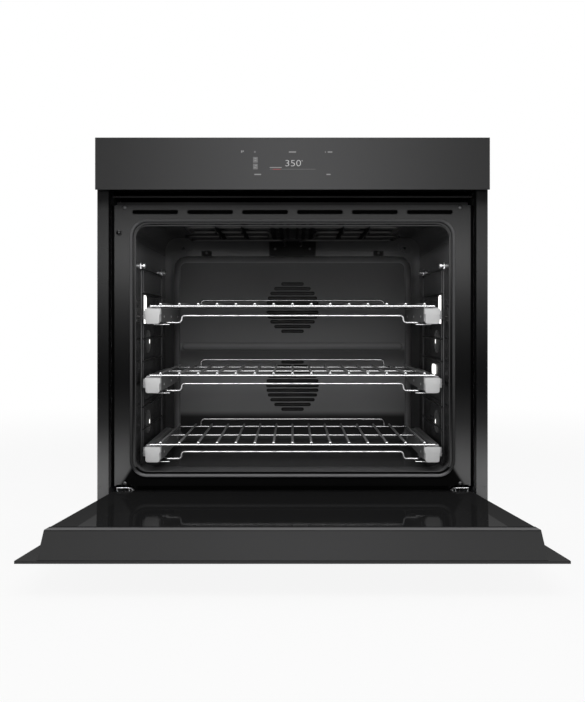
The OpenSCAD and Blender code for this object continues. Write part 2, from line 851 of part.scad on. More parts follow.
// Middle rail, nested in the channels of the other two
module slide_mid(i) {
    low = rack_z(i) - rail_drop - rail_h + rail_t + seat_gap;
    high = rack_z(i) - rail_drop - rail_t - seat_gap;
    x0 = slide_in + 1.7 + rail_t + seat_gap;
    x1 = slide_out - rail_t - seat_gap;
    y0 = rail_y + 3;
    color("gray") both_sides() {
        for (z = [low, high - 2]) block([x0, y0, z], [x1, rail_back, z + 2]);
        block([(x0 + x1) / 2 - 1, y0, low], [(x0 + x1) / 2 + 1, rail_back, high]);
    }
}

module slide_mid_1() slide_mid(1);

module slide_mid_2() slide_mid(2);

module slide_mid_3() slide_mid(3);

// End caps on the front of the inner rails
module slide_caps(i) {
    top = rack_z(i) - cap_drop;
    color("whitesmoke") both_sides() translate([(slide_in + slide_out) / 2, 0, 0])
        inward(rack_front + 1, rail_y) round_rect(slide_w / 2, top - cap_h, top, 3);
}

module slide_caps_1() slide_caps(1);

module slide_caps_2() slide_caps(2);

module slide_caps_3() slide_caps(3);

// Wire rack with a guard rail behind and a stop wire in front
module rack(i) {
    thin_d = wire_d - 0.5;
    link_d = wire_d - 1;
    half = slide_out - 10.5;
    side = slide_in + 6.5;
    weld = 0.4;
    top = wire_d - weld;
    guard_x = half * 0.75;
    guard_z = 17.3;
    stop_y = rack_front + 38;
    stop_x = half * 0.79;
    color("gainsboro") translate([0, rack_front, rack_z(i)]) {
        rod([-half, 0, 0], [half, 0, 0], wire_d);
        for (y = [rack_d * 0.49, rack_d]) rod([-side, y, 0], [side, y, 0], wire_d);
        for (s = [-1, 1]) rod([s * side, 0, 0], [s * side, rack_d, 0], thin_d);
        for (k = [0:rack_rows - 1]) {
            x = (k - (rack_rows - 1) / 2) * wire_pitch;
            wire([[x, -2, top], [x, rack_d + 5, top], [x, rack_d + 5, top + 7]], wire_d);
        }
        wire([[-guard_x, rack_d, 0], [-guard_x, rack_d, guard_z],
            [guard_x, rack_d, guard_z], [guard_x, rack_d, 0]], thin_d);
    }
    low = -rail_drop - rail_h - wire_d / 2 - eps;
    color("gainsboro") translate([0, stop_y, rack_z(i)])
        wire([[12 - slide_out, 0, low], [-stop_x - 14, 0, low], [-stop_x, 0, -18.8],
            [stop_x, 0, -18.8], [stop_x + 14, 0, low], [slide_out - 12, 0, low]], thin_d);
    color("gainsboro") translate([0, 0, rack_z(i)]) both_sides()
        wire([[slide_in - 14, rack_front, 0], [slide_in - 14, rack_front + 5, low],
            [slide_in - 14, stop_y, low]], link_d);
}

module rack_1() rack(1);

module rack_2() rack(2);

module rack_3() rack(3);

// Door hinges and switch on the body

// Arm with the eye for the hinge pin, in its receiver behind the frame
module hinge_arms() {
    arm_h = 12;
    eye_r = 9;
    slot_x = arm_t / 2;
    wall_x = slot_x + 3;
    z = hinge_z;
    color("silver") both_sides() translate([arm_x, 0, 0]) {
        difference() {
            union() {
                translate([0, hinge_y, z]) along_x(eye_r, -slot_x, slot_x);
                block([-slot_x, hinge_y, z - arm_h / 2], [slot_x, arm_end, z + arm_h / 2]);
            }
            translate([0, hinge_y, z]) along_x(pin_r + run_gap, -arm_t, arm_t);
            translate([0, clamp_y, z]) along_x(clamp_pin_r + run_gap, -arm_t, arm_t);
        }
        for (s = [-1, 1]) translate([s * (slot_x + 1.5), 0, 0])
            across(3) polygon([[toe_y, z - 9], [arm_end, z - 9], [arm_end, z + 22],
                [toe_y, z + 22]]);
        block([-14, frame_back, z + 22], [14, arm_end, z + 24]);
        block([-14, frame_back, z + 24], [14, frame_back + 2, z + 60]);
    }
}

clamp_y = frame_back + 5.3;
clamp_x = 12;
clamp_pin_r = 2;
clamp_d = 2;
clamp_reach = 10.2;
clamp_sweep = clamp_reach * sqrt(2) + clamp_d / 2;
arm_end = toe_y + 76;

// Stirrup that flips up to lock the hinge
module hinge_clamp() {
    tip = [0, -clamp_reach, clamp_reach];
    end = [clamp_x, 0, 0];
    color("gainsboro") translate([arm_x, clamp_y, hinge_z]) {
        along_x(clamp_pin_r, -clamp_x, clamp_x);
        for (e = [-end, end]) {
            rod(e, e + tip, clamp_d);
            translate(e + tip) sphere(d = clamp_d);
        }
        rod(tip - end, tip + end, clamp_d);
    }
}

module hinge_clamp_right() hinge_clamp();

module hinge_clamp_left() mirror([1, 0, 0]) hinge_clamp();

module door_switch() {
    color("black") translate([switch_x, 0, switch_z]) difference() {
        block([-7, frame_back, -14], [7, frame_back + 12, 14]);
        along_y(3 + run_gap, frame_back - 1, frame_back + 10);
        along_y(button_r + 0.2, frame_back - 1, frame_back + 5.5);
    }
}

module switch_plunger() {
    tip_y = door_in + swing_gap + 4;
    color("black") translate([switch_x, 0, switch_z]) {
        along_y(3, tip_y, frame_back + 5);
        translate([0, tip_y, 0]) sphere(r = button_r);
    }
}

// Door, drawn closed and then opened about its hinge pins

module open_door() {
    translate([0, hinge_y, hinge_z]) rotate([door_open, 0, 0])
        translate([0, -hinge_y, -hinge_z]) children();
}

rail_in = door_in - glass_t;
channel_x = door_x - 28;

module door_outer_glass() {
    color([0.13, 0.13, 0.14]) open_door()
        block([-front_x, -stand_out, door_low], [front_x, door_face, door_high]);
}

module door_inner_glass() {
    color([0.06, 0.06, 0.07]) open_door()
        block([-door_x + 1.3, rail_in, inner_glass_low], [door_x - 1.3, door_in, inner_glass_top]);
}

pane_y = [door_face + 9, door_face + 20];
pane_x = channel_x - 6;
pane_low = inner_glass_low + 4;
pane_top = cap_shoulder - 8;

module door_middle_glasses() {
    color([0.5, 0.6, 0.6]) open_door() for (y = pane_y)
        block([-pane_x, y, pane_low], [pane_x, y + glass_t, pane_top]);
}

// Clips that hold the middle panes between the side channels
module door_glass_clips() {
    clip_h = 20;
    lap = 8;
    run = inner_glass_top - pane_low;
    color("gray") open_door() both_sides()
        for (f = [0.1, 0.5, 0.9]) translate([0, 0, pane_low + f * run - clip_h / 2])
            difference() {
                block([pane_x - lap, door_face, 0], [channel_x, rail_in, clip_h]);
                for (y = pane_y) block([pane_x - lap - 1, y - fit_gap, -1],
                    [pane_x + fit_gap, y + glass_t + fit_gap, clip_h + 1]);
            }
}

// Folded cap with a slanted top, open towards the glass and below
module door_top_cap() {
    t = door_sheet;
    over = 1;
    color([0.2, 0.2, 0.21]) open_door() difference() {
        across(2 * door_x) polygon([[door_face, inner_glass_top], [door_in, inner_glass_top],
            [door_in, cap_shoulder], [door_face, cap_base]]);
        across(2 * (door_x - t)) polygon([[door_face - over, inner_glass_top - over],
            [door_in - t, inner_glass_top - over], [door_in - t, cap_shoulder - t * tan(22.5)],
            [door_face - over, cap_base - t * sqrt(2) + over]]);
    }
}

// Side channels and bottom rail, welded into one frame
module door_frame() {
    low = door_low + 4;
    rail_h2 = inner_glass_low - low;
    color([0.16, 0.16, 0.17]) open_door() difference() {
        union() {
            both_sides() difference() {
                block([channel_x, door_face, low], [door_x, rail_in, inner_glass_top]);
                block([channel_x - 1, door_face + door_sheet, low - 1],
                    [door_x - door_sheet, rail_in - door_sheet, inner_glass_top - 6]);
            }
            difference() {
                block([-channel_x, door_face, low], [channel_x, rail_in, low + rail_h2]);
                block([-channel_x - 1, door_face + door_sheet, low + door_sheet],
                    [channel_x + 1, rail_in - door_sheet, low + rail_h2 - door_sheet]);
            }
            block([-door_x, rail_in, low + 6], [door_x, door_in, low + rail_h2 - fit_gap]);
        }
        both_sides() block([arm_x - 17, door_face + door_sheet, low - 1],
            [arm_x + 15, door_in + 1, hinge_z + 12]);
    }
}

// Hinge bodies in the side channels, with the pins
module door_hinges() {
    cheek_x = arm_t / 2 + swing_gap;
    back_y = hinge_y - 1.5;
    front = door_face + door_sheet;
    body_h = 120;
    top = hinge_z + body_h;
    color("silver") open_door() both_sides() translate([arm_x, 0, 0]) {
        for (s = [-1, 1]) translate([s * (cheek_x + cheek_t / 2), 0, 0]) {
            across(cheek_t) polygon([[front, hinge_z - 4], [hinge_y - 4, hinge_z - 6],
                [back_y + 1, hinge_z - 6], [back_y + 1, top], [front, top]]);
            translate([0, hinge_y, hinge_z]) along_x(8, -cheek_t / 2, cheek_t / 2);
        }
        block([-cheek_x - cheek_t, front, hinge_z + 14], [cheek_x + cheek_t, front + 2, top]);
        translate([0, hinge_y, hinge_z]) along_x(pin_r, -cheek_x - cheek_t, cheek_x + cheek_t);
    }
}

chassis_base();
side_panels();
top_cover();
rear_cover();
mounting_trim();
front_frame();
cavity_liner();
insulation();
door_seal();
fan_baffle();
broil_element();
broil_terminal_cover();
bake_element();
ring_elements();
fan_motors();
blower_housing();
blower_motor();
air_duct();
outlet_lip();
fascia_glass();
fascia_carrier();
display_module();
circuit_boards();
terminal_box();
lamp_holders();
lamp_lenses();
lamp_bulbs();
temperature_sensor();
probe_socket();
side_ladders();
ladder_knobs();
slide_rails_fixed();
hinge_arms();
door_switch();
frame_screws();
door_outer_glass();
door_middle_glasses();
door_inner_glass();
door_top_cap();
door_frame();
door_glass_clips();
door_hinges();
rack_1();
rack_2();
rack_3();
slide_inner_1();
slide_inner_2();
slide_inner_3();
slide_caps_1();
slide_caps_2();
slide_caps_3();
slide_mid_1();
slide_mid_2();
slide_mid_3();
fan_wheel_upper();
fan_wheel_lower();
blower_wheel();
switch_plunger();
hinge_clamp_left();
hinge_clamp_right();
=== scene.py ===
"""Looks of a built-in wall oven with its door open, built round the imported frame.

Lengths are in metres. X is to the right, +Y goes into the cabinet and Z is up.
"""
import math

import bmesh
import bpy
import numpy as np
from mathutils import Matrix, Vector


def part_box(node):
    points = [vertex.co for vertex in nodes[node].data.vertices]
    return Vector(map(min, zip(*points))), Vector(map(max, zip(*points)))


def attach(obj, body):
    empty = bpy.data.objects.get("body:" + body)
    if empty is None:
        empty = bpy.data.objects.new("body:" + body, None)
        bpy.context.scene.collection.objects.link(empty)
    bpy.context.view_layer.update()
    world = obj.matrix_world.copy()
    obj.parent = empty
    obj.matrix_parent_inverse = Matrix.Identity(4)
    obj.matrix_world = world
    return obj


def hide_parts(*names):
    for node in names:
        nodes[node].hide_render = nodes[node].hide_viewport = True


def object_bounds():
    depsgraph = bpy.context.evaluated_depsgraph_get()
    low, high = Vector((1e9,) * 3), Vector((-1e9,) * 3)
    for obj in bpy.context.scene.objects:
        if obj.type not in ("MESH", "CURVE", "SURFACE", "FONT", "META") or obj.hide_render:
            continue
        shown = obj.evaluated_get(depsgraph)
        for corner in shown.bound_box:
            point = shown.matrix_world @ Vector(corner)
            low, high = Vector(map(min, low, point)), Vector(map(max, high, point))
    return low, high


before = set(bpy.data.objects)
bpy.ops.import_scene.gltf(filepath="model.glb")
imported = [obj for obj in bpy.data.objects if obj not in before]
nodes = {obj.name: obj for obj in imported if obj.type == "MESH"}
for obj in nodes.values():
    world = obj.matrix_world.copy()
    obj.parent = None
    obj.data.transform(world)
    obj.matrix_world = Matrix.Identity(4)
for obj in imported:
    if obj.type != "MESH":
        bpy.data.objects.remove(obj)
cad_bounds = [list(map(float, corner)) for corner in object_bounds()]
scene = bpy.context.scene

# ---------------------------------------------------------------- studio
# A white sweep with soft boxes: the oven stands alone, so the room is plain.
# The camera looks level into the cavity from just above the middle of the
# height, at a distance of a little over two and a half times the width.

mm = 0.001
glass_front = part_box("fascia_glass")[0][1]
camera_height = 0.3887
camera_distance = 1.9
lens_length = 50.769231
lens_shift = -0.04700855
sensor_width = 36

camera = bpy.data.objects.new("camera", bpy.data.cameras.new("camera"))
camera.location = (0, glass_front - camera_distance, camera_height)
camera.rotation_euler = (math.pi / 2, 0, 0)
camera.data.sensor_fit = "AUTO"
camera.data.sensor_width = sensor_width
camera.data.lens = lens_length
camera.data.shift_y = lens_shift
camera.data.clip_start = 0.05
camera.data.clip_end = 60
scene.collection.objects.link(camera)
scene.camera = camera
scene.view_settings.view_transform = "Standard"


class Value:
    """A number in a shader, so that maths on it reads as an expression."""

    def __init__(self, shader, socket):
        self.shader = shader
        self.socket = socket

    def maths(self, operation, *others):
        """This value joined with others by one Math node."""
        return self.shader.node("Math", {"operation": operation}, {
            i: other for i, other in enumerate((self,) + others)})["Value"]

    def __add__(self, other):
        return self.maths("ADD", other)

    def __mul__(self, other):
        return self.maths("MULTIPLY", other)

    def __sub__(self, other):
        return self.maths("SUBTRACT", other)

    def __truediv__(self, other):
        return self.maths("DIVIDE", other)

    def __rsub__(self, other):
        return (self * -1) + other

    def __gt__(self, other):
        return self.maths("GREATER_THAN", other)

    def __lt__(self, other):
        return self.maths("LESS_THAN", other)

    def __abs__(self):
        return self.maths("ABSOLUTE")

    __radd__ = __add__
    __rmul__ = __mul__

    def clamp(self):
        """This value held between 0 and 1."""
        return self.shader.node("Clamp", {}, {"Value": self})["Result"]

    def step(self, start, end):
        """0 before start and 1 after end, with a smooth rise between them."""
        return self.shader.node("MapRange", {"interpolation_type": "SMOOTHSTEP"}, {
            "Value": self, "From Min": start, "From Max": end})["Result"]


class Outputs:
    """The outputs of one shader node, each read by its name as a Value."""

    def __init__(self, shader, made):
        self.shader = shader
        self.made = made

    def __getitem__(self, name):
        return Value(self.shader, self.made.outputs[name])


class Shader:
    """A material under construction, or the world where it is given."""

    def __init__(self, name, world=None):
        self.material = world or bpy.data.materials.new(name)
        self.material.use_nodes = True
        self.tree = self.material.node_tree
        self.tree.nodes.clear()
        self.output = self.tree.nodes.new(
            "ShaderNodeOutput" + ("World" if world else "Material"))

    def node(self, kind, settings=None, sockets=None):
        """One node of that type, with its settings made first and then its sockets."""
        made = self.tree.nodes.new("ShaderNode" + kind)
        for key, value in (settings or {}).items():
            setattr(made, key, value)
        for key, value in (sockets or {}).items():
            socket = made.inputs[key]
            if isinstance(value, Value):
                self.tree.links.new(value.socket, socket)
            elif socket.type == "RGBA":
                socket.default_value = (*value, 1)
            else:
                socket.default_value = value
        return Outputs(self, made)

    def place(self):
        """The point on the piece, in metres."""
        return self.node("TexCoord")["Object"]

    def axes(self):
        """The point's three coordinates, each as a Value."""
        parts = self.node("SeparateXYZ", {}, {"Vector": self.place()})
        return parts["X"], parts["Y"], parts["Z"]

    def noise(self, scale, detail=3.0, stretch=(1, 1, 1)):
        """Cloudy noise from 0 to 1, in clouds per metre; stretch squeezes it along each axis."""
        point = self.node("Mapping", {}, {"Vector": self.place(), "Scale": stretch})["Vector"]
        return self.node("TexNoise", {}, {
            "Vector": point, "Scale": scale, "Detail": detail})["Fac"]

    def mix(self, amount, first, second):
        """A colour between two others."""
        made = self.node("Mix", {"data_type": "RGBA"}, {0: amount})
        for index, colour in ((6, first), (7, second)):
            if isinstance(colour, Value):
                self.tree.links.new(colour.socket, made.made.inputs[index])
            else:
                made.made.inputs[index].default_value = (*colour, 1)
        return Value(self, made.made.outputs[2])

    def bump(self, height, depth, strength):
        """A normal bent by a height from 0 to 1 that stands for depth metres."""
        return self.node("Bump", {}, {"Height": height, "Distance": depth,
                                      "Strength": strength})["Normal"]

    def finish(self, **sockets):
        """The principled surface, with spaces in the sockets' names written as underscores."""
        surface = self.node("BsdfPrincipled", {}, {
            name.replace("_", " "): value for name, value in sockets.items()})
        self.tree.links.new(surface["BSDF"].socket, self.output.inputs["Surface"])
        return self.material


def seen_directly(shader):
    """1 for rays from the camera, and for those that a mirror or glass sends on."""
    ray = shader.node("LightPath")
    return (ray["Is Camera Ray"] + ray["Is Glossy Ray"] + ray["Is Transmission Ray"]).clamp()


def white_sweep():
    """Pale matt paint, seen as near white by the oven and as plain white farther out.

    The white share is 0.90 up to 0.9 m from the middle and rises to 1 at 2.8 m.
    """
    shader = Shader("white_sweep")
    x, y, _ = shader.axes()
    away = (x * x + y * y).maths("SQRT").step(0.9, 2.8)
    paint = shader.node("BsdfDiffuse", {}, {"Color": (0.82, 0.82, 0.82)})["BSDF"]
    glow = shader.node("Emission", {}, {"Color": (1, 1, 1), "Strength": 1.0})["Emission"]
    shown = shader.node("MixShader", {}, {
        0: seen_directly(shader) * (away * 0.10 + 0.90), 1: paint, 2: glow})["Shader"]
    shader.tree.links.new(shown.socket, shader.output.inputs["Surface"])
    return shader.material


def white_room():
    """World that lights the oven softly, and that the camera, metal and glass see as white."""
    shader = Shader("white_room", bpy.data.worlds.new("white_room"))
    dim, white = (shader.node("Background", {}, {"Color": (1, 1, 1), "Strength": strength})
                  ["Background"] for strength in (0.30, 1.0))
    shown = shader.node("MixShader", {}, {0: seen_directly(shader), 1: dim, 2: white})["Shader"]
    shader.tree.links.new(shown.socket, shader.output.inputs["Surface"])
    return shader.material


scene.world = white_room()


def shell(points, loop_u=False, loop_v=False, ends=False):
    """Vertices and faces of a grid: vertex (i, j) is points[i, j].

    A loop joins the last row or column to the first, and ends closes the first and last rows.
    Where the faces close a volume that comes out negative, all of them are turned round.
    """
    rows, columns = points.shape[:2]
    index = np.arange(rows * columns).reshape(rows, columns)
    wide = np.vstack([index, index[:1]]) if loop_u else index
    wide = np.hstack([wide, wide[:, :1]]) if loop_v else wide
    quads = np.stack([wide[:-1, :-1], wide[1:, :-1], wide[1:, 1:], wide[:-1, 1:]],
                     axis=-1).reshape(-1, 4)
    vertices = points.reshape(-1, 3)
    caps = [index[0], index[-1][::-1]] if ends else []
    if ends or (loop_u and loop_v):
        a, b, c, d = (vertices[quads[:, k]] - vertices[0] for k in range(4))
        volume = np.einsum("ij,ij->", a, np.cross(b, c)) + np.einsum("ij,ij->", a, np.cross(c, d))
        for cap in caps:
            first, *rest = vertices[cap] - vertices[0]
            volume += np.einsum("ij,ij->", np.tile(first, (len(rest) - 1, 1)),
                                np.cross(rest[:-1], rest[1:]))
        if volume < 0:
            quads = quads[:, ::-1]
            caps = [cap[::-1] for cap in caps]
    return vertices, quads.tolist() + [cap.tolist() for cap in caps]


def mounted(name, mesh, material, body, replaces):
    """Object of that mesh on its body and the CAD nodes that it stands for."""
    mesh.materials.append(material)
    made = bpy.data.objects.new(name, mesh)
    scene.collection.objects.link(made)
    if body:
        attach(made, body)
    if replaces:
        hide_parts(*replaces)
    return made


def piece(name, shells, material, body=None, replaces=(), smooth=True):
    """Piece made of those shells; smooth shading keeps folds of over 38 degrees sharp."""
    vertices, faces, count = [], [], 0
    for points, corners in shells:
        vertices.append(points)
        faces += [[corner + count for corner in face] for face in corners]
        count += len(points)
    mesh = bpy.data.meshes.new(name)
    mesh.from_pydata(np.concatenate(vertices).tolist(), [], faces)
    mesh.polygons.foreach_set("use_smooth", [smooth] * len(mesh.polygons))
    if smooth:
        mesh.set_sharp_from_angle(angle=math.radians(38))
    return mounted(name, mesh, material, body, replaces)


def sweep_floor(half, level):
    """Flat square: x and y run from -half to half, and z is the level."""
    line = np.linspace(-half, half, 5)
    x, y = np.meshgrid(line, line, indexing="ij")
    return np.stack([x, y, np.full_like(x, level)], axis=-1)


floor_level = cad_bounds[0][2] - 0.5 * mm
floor = piece("floor", [shell(sweep_floor(half=9.0, level=floor_level))], white_sweep(),
              smooth=False)


def soft_box(name, place, target, size, watts):
    """Rectangular area lamp that faces its target."""
    lamp = bpy.data.lights.new(name, "AREA")
    lamp.shape = "RECTANGLE"
    lamp.size, lamp.size_y = size
    lamp.energy = watts
    held = bpy.data.objects.new(name, lamp)
    scene.collection.objects.link(held)
    held.location = place
    away = held.location - type(held.location)(target)
    held.rotation_euler = away.to_track_quat("Z", "Y").to_euler()


mouth_centre = (0, 0, 0.45)
rack_centre = (0, 0, 0.55)
soft_box("key_light", (0.0, -2.6, 2.6), mouth_centre, size=(2.4, 1.0), watts=48)
soft_box("left_light", (-2.6, -1.6, 1.2), mouth_centre, size=(1.2, 1.8), watts=16)
soft_box("right_light", (2.6, -1.6, 1.2), mouth_centre, size=(1.2, 1.8), watts=16)
soft_box("front_light", (0.0, -4.2, 0.80), rack_centre, size=(2.6, 0.36), watts=14)

# ---------------------------------------------------------------- casing
# Folded from 1 mm galvanised sheet: a base with two carriers, side panels, a top
# and a rear cover. The zinc shows its crystals, and hex screws hold the covers.


def dress(material, *names):
    """Gives CAD nodes that material in every slot."""
    for name in names:
        for held in nodes[name].material_slots:
            held.material = material


def galvanised_zinc():
    """Zinc crystals a few millimetres wide, each with its own grey, in a slow cloud of tone."""
    shader = Shader("zinc_steel")
    crystals = shader.node("TexVoronoi", {"feature": "F1"}, {
        "Vector": shader.place(), "Scale": 130.0, "Randomness": 1.0})
    grey = shader.node("SeparateColor", {}, {"Color": crystals["Color"]})["Red"]
    cloud = shader.noise(9.0, detail=4.0)
    tone = (grey * 0.55 + cloud * 0.45).clamp()
    return shader.finish(
        Base_Color=shader.mix(tone, (0.40, 0.41, 0.42), (0.60, 0.61, 0.62)),
        Metallic=1.0, Roughness=tone * 0.16 + 0.30,
        Normal=shader.bump(grey, depth=0.12 * mm, strength=0.25))


zinc = galvanised_zinc()
dress(zinc, "chassis_base", "side_panels", "top_cover", "rear_cover", "terminal_box")

# ---------------------------------------------------------------- mounting trim
# Black coated steel strips that lie on the cabinet at both sides of the oven.
# Two countersunk holes in each take the screws that hold the oven in its niche.


def painted_sheen_by_height(shader):
    """Share of shine along the height, painted as a sheen that stands for reflections of the soft
    boxes.

    It falls from 0.42 at 0.50 m to 0.05 at 0.27 m, and rises again to 0.95 at 0.08 m.
    Above 0.60 m three quarters of it is taken off, as painted shade under the fascia's overhang.
    """
    z = shader.axes()[2]
    # Painted sheen by height, and painted shade above 0.60 m.
    return ((z.step(0.27, 0.50) * 0.42 - z.step(0.50, 0.66) * 0.16
             + (1 - z.step(0.08, 0.27)) * 0.90 + 0.05) * (1 - z.step(0.596, 0.622) * 0.75))


def painted_light_foot(shader, ground):
    """The coat's tone, painted paler under 0.19 m as painted light on the lower part."""
    z = shader.axes()[2]
    # Painted light: paler towards the bottom.
    return shader.mix(1 - z.step(0.070, 0.195), ground, (0.112, 0.112, 0.113))


def black_coat(name, colour, gloss=None, rough=0.22):
    """Baked coat over sheet steel, with an orange peel 0.05 mm deep.

    Without a gloss of its own, its shine is a painted sheen and its tone has painted light, both by
    height.
    """
    shader = Shader(name)
    fine = shader.noise(900.0, detail=2.0)
    broad = shader.noise(7.0)
    light = tuple(min(1.0, part * 1.25 + 0.001) for part in colour)
    tone = shader.mix(broad, colour, light)
    if gloss is None:
        # Painted sheen and painted light that follow the height.
        tone, share = painted_light_foot(shader, tone), painted_sheen_by_height(shader)
    else:
        share = broad * 0.1 + gloss
    return shader.finish(
        Base_Color=tone, Roughness=0.5, Specular_IOR_Level=0.0,
        Coat_Weight=share, Coat_Roughness=rough,
        Normal=shader.bump(fine, depth=0.05 * mm, strength=0.5))


trim_black = black_coat("trim_black", (0.005, 0.005, 0.0052))
dress(trim_black, "mounting_trim")
duct_black = black_coat("duct_black", (0.003, 0.003, 0.0031), gloss=0.05)
dress(duct_black, "outlet_lip", "air_duct", "fascia_carrier")

# ---------------------------------------------------------------- front frame
# Pressed from one sheet and enamelled dark grey, with six air slots at the top.
# Its sill slopes back under the seal, and screws hold it at the corners.


def front_enamel():
    """Dark enamel with a soft ripple; the sill under the seal is painted darker and duller as
    painted shade, and the folded sides are darker and duller too.

    The sill lies under 0.096 m, and its mitred ends slope by 1.58 outside 0.319 m. The
    sides are folded back from 0.351 m.
    """
    shader = Shader("frame_enamel")
    x, _, z = shader.axes()
    # Painted shade: the sill under the seal is darkened and its shine taken off.
    sill = ((0.096 - (abs(x) - 0.319) * 1.58) - z).step(-0.002, 0.012) * (z < 0.096)
    dull = (sill + abs(x).step(0.3508, 0.3520)).clamp()
    ripple = shader.noise(95.0, detail=2.0)
    cloud = shader.noise(5.0, detail=2.0)
    ground = shader.mix(cloud, (0.006, 0.006, 0.0062), (0.008, 0.008, 0.0083))
    return shader.finish(
        Base_Color=shader.mix(dull, painted_light_foot(shader, ground), (0.0035, 0.0035, 0.0036)),
        Roughness=0.5, Specular_IOR_Level=0.0,
        Coat_Weight=painted_sheen_by_height(shader) * (1 - dull * 0.93),
        Coat_Roughness=0.18, Normal=shader.bump(ripple, depth=0.1 * mm, strength=0.3))


frame_enamel = front_enamel()
dress(frame_enamel, "front_frame")

across = np.array([0.0, 1.0, 0.0])
upward = np.array([0.0, 0.0, 1.0])
rightward = np.array([1.0, 0.0, 0.0])


def bent(corners, radius, steps=7):
    """Line through the corners with an arc in each.

    An arc's centre lies on the bisector of its corner, at radius over the sine of half the
    angle between the edges, and its points turn evenly from one edge to the other.
    """
    corners = np.array(corners, float)
    back = corners[:-2] - corners[1:-1]
    ahead = corners[2:] - corners[1:-1]
    room = np.minimum(np.linalg.norm(back, axis=1), np.linalg.norm(ahead, axis=1)) * 0.49
    back /= np.linalg.norm(back, axis=1, keepdims=True)
    ahead /= np.linalg.norm(ahead, axis=1, keepdims=True)
    half = np.arccos(np.clip(np.sum(back * ahead, axis=1), -1, 1)) / 2
    arc = np.minimum(radius / np.tan(half), room) * np.tan(half)
    middle = back + ahead
    middle /= np.linalg.norm(middle, axis=1, keepdims=True)
    aside = ahead - back
    aside /= np.linalg.norm(aside, axis=1, keepdims=True)
    turn = np.linspace(-1, 1, steps)[:, None, None] * (math.pi / 2 - half)[None, :, None]
    centre = corners[1:-1] + middle * (arc / np.sin(half))[:, None]
    points = centre + arc[:, None] * (aside * np.sin(turn) - middle * np.cos(turn))
    return np.concatenate([corners[:1], points.transpose(1, 0, 2).reshape(-1, 3), corners[-1:]])


def closed_bent(corners, radius, steps=7):
    """The closed line through the corners with an arc in each, as bent makes it."""
    corners = [*corners]
    return bent([corners[-1], *corners, corners[0]], radius, steps)[1:-1]


def carried(path, normal, ring, closed=False):
    """A profile carried along a path that lies in the plane square to the normal.

    Point (i, j) is path[i] + ring[j, 0] * side[i] + ring[j, 1] * normal, where side[i] is
    the unit vector square to the normal and to the path's own direction at i.
    """
    if closed:
        direction = np.roll(path, -1, axis=0) - np.roll(path, 1, axis=0)
    else:
        direction = np.gradient(path, axis=0)
    side = np.cross(direction, normal)
    side /= np.linalg.norm(side, axis=1, keepdims=True)
    return path[:, None] + ring[None, :, :1] * side[:, None] + ring[None, :, 1:] * normal


def round_wire(path, normal, thick, closed=False, sides=12):
    """A round wire along a path."""
    turn = np.arange(sides) * 2 * math.pi / sides
    ring = np.stack([np.cos(turn), np.sin(turn)], axis=-1) * thick / 2
    return shell(carried(np.array(path, float), normal, ring, closed), closed, True, not closed)


def flat_box(node):
    """Lowest and highest corners of a CAD node, as arrays."""
    return tuple(np.array(corner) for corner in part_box(node))


frame_box = flat_box("front_frame")
frame_face = frame_box[0][1]
slot_length = 90.5 * mm
slot_height = 8 * mm
slot_step = 108 * mm
slot_level = frame_box[1][2] - 13.7 * mm


def slot_edge(middle):
    """Rolled edge of an air slot: a thin wire round the slot's outline."""
    x = slot_length / 2
    z = slot_height / 2
    corners = [(middle - x, frame_face, slot_level - z), (middle + x, frame_face, slot_level - z),
               (middle + x, frame_face, slot_level + z), (middle - x, frame_face, slot_level + z)]
    line = closed_bent(corners, radius=z * 0.98, steps=9)
    return round_wire(line, across, thick=1.2 * mm, closed=True, sides=8)


piece("slot_edges", [slot_edge((k - 2.5) * slot_step) for k in range(6)], frame_enamel,
      "oven")

# ---------------------------------------------------------------- door seal
# A woven glass-fibre tube over a spring core, clipped round the cavity's mouth
# and pressed to a soft oval by the closed door. Inside it lies the rolled lip in
# which the liner's flange ends.

seal_box = flat_box("door_seal")
seal_wide = 6.2 * mm
seal_sides = 20
seal_deep = seal_box[1][1] - seal_box[0][1]


def woven_seal():
    """Fine basket weave that follows the seal, from its own length and girth coordinates.

    It is darker low on the sides and at the foot's ends, and paler at the top; the foot run is
    painted paler still, as painted light from above.
    """
    shader = Shader("seal_braid")
    thread = shader.node("SeparateXYZ", {}, {
        "Vector": shader.node("UVMap", {"uv_map": "weave"})["UV"]})
    along, round_it = thread["X"] * 2600.0, thread["Y"] * 44.0
    z = shader.axes()[2]
    height = z.step(0.12, 0.56) * (1 - z.step(0.571, 0.579) * 0.55)
    # Painted light: the foot run is made paler, as if lit from above.
    foot = 1 - z.step(0.080, 0.092)
    over = (along + round_it).maths("SINE") * (along - round_it).maths("SINE")
    weave = (over * 0.5 + 0.5).clamp()
    raised = weave * 0.5 + 0.5
    height_tone = shader.mix(raised * height, (0.014, 0.014, 0.0143), (0.088, 0.088, 0.090))
    return shader.finish(
        Base_Color=shader.mix(raised * foot, height_tone, (0.22, 0.22, 0.225)),
        Specular_IOR_Level=0.2, Roughness=weave * 0.1 + 0.36,
        Normal=shader.bump(weave, depth=0.3 * mm, strength=0.5))


def seal_ring():
    """Section of the seal: an oval, each of whose axes goes as its sine to the power 0.8."""
    turn = np.arange(seal_sides) * 2 * math.pi / seal_sides
    wave = np.stack([np.cos(turn), np.sin(turn)], axis=-1)
    return np.sign(wave) * np.abs(wave) ** 0.8 * (seal_wide / 2, seal_deep / 2)


seal_middle = (seal_box[0][1] + seal_box[1][1]) / 2


def mouth_line(half, low_z, high_z, depth, radius):
    """Closed line round the mouth at that half width, between those heights."""
    return closed_bent([(-half, depth, low_z), (half, depth, low_z),
                        (half, depth, high_z), (-half, depth, high_z)], radius, steps=15)


seal_path = mouth_line(half=316.4 * mm, low_z=79.4 * mm, high_z=579.8 * mm,
                       depth=seal_middle, radius=31 * mm)
door_seal = piece("woven_door_seal", [shell(carried(seal_path, across, seal_ring(), True),
                                            True, True)],
                  woven_seal(), "oven", ["door_seal"])


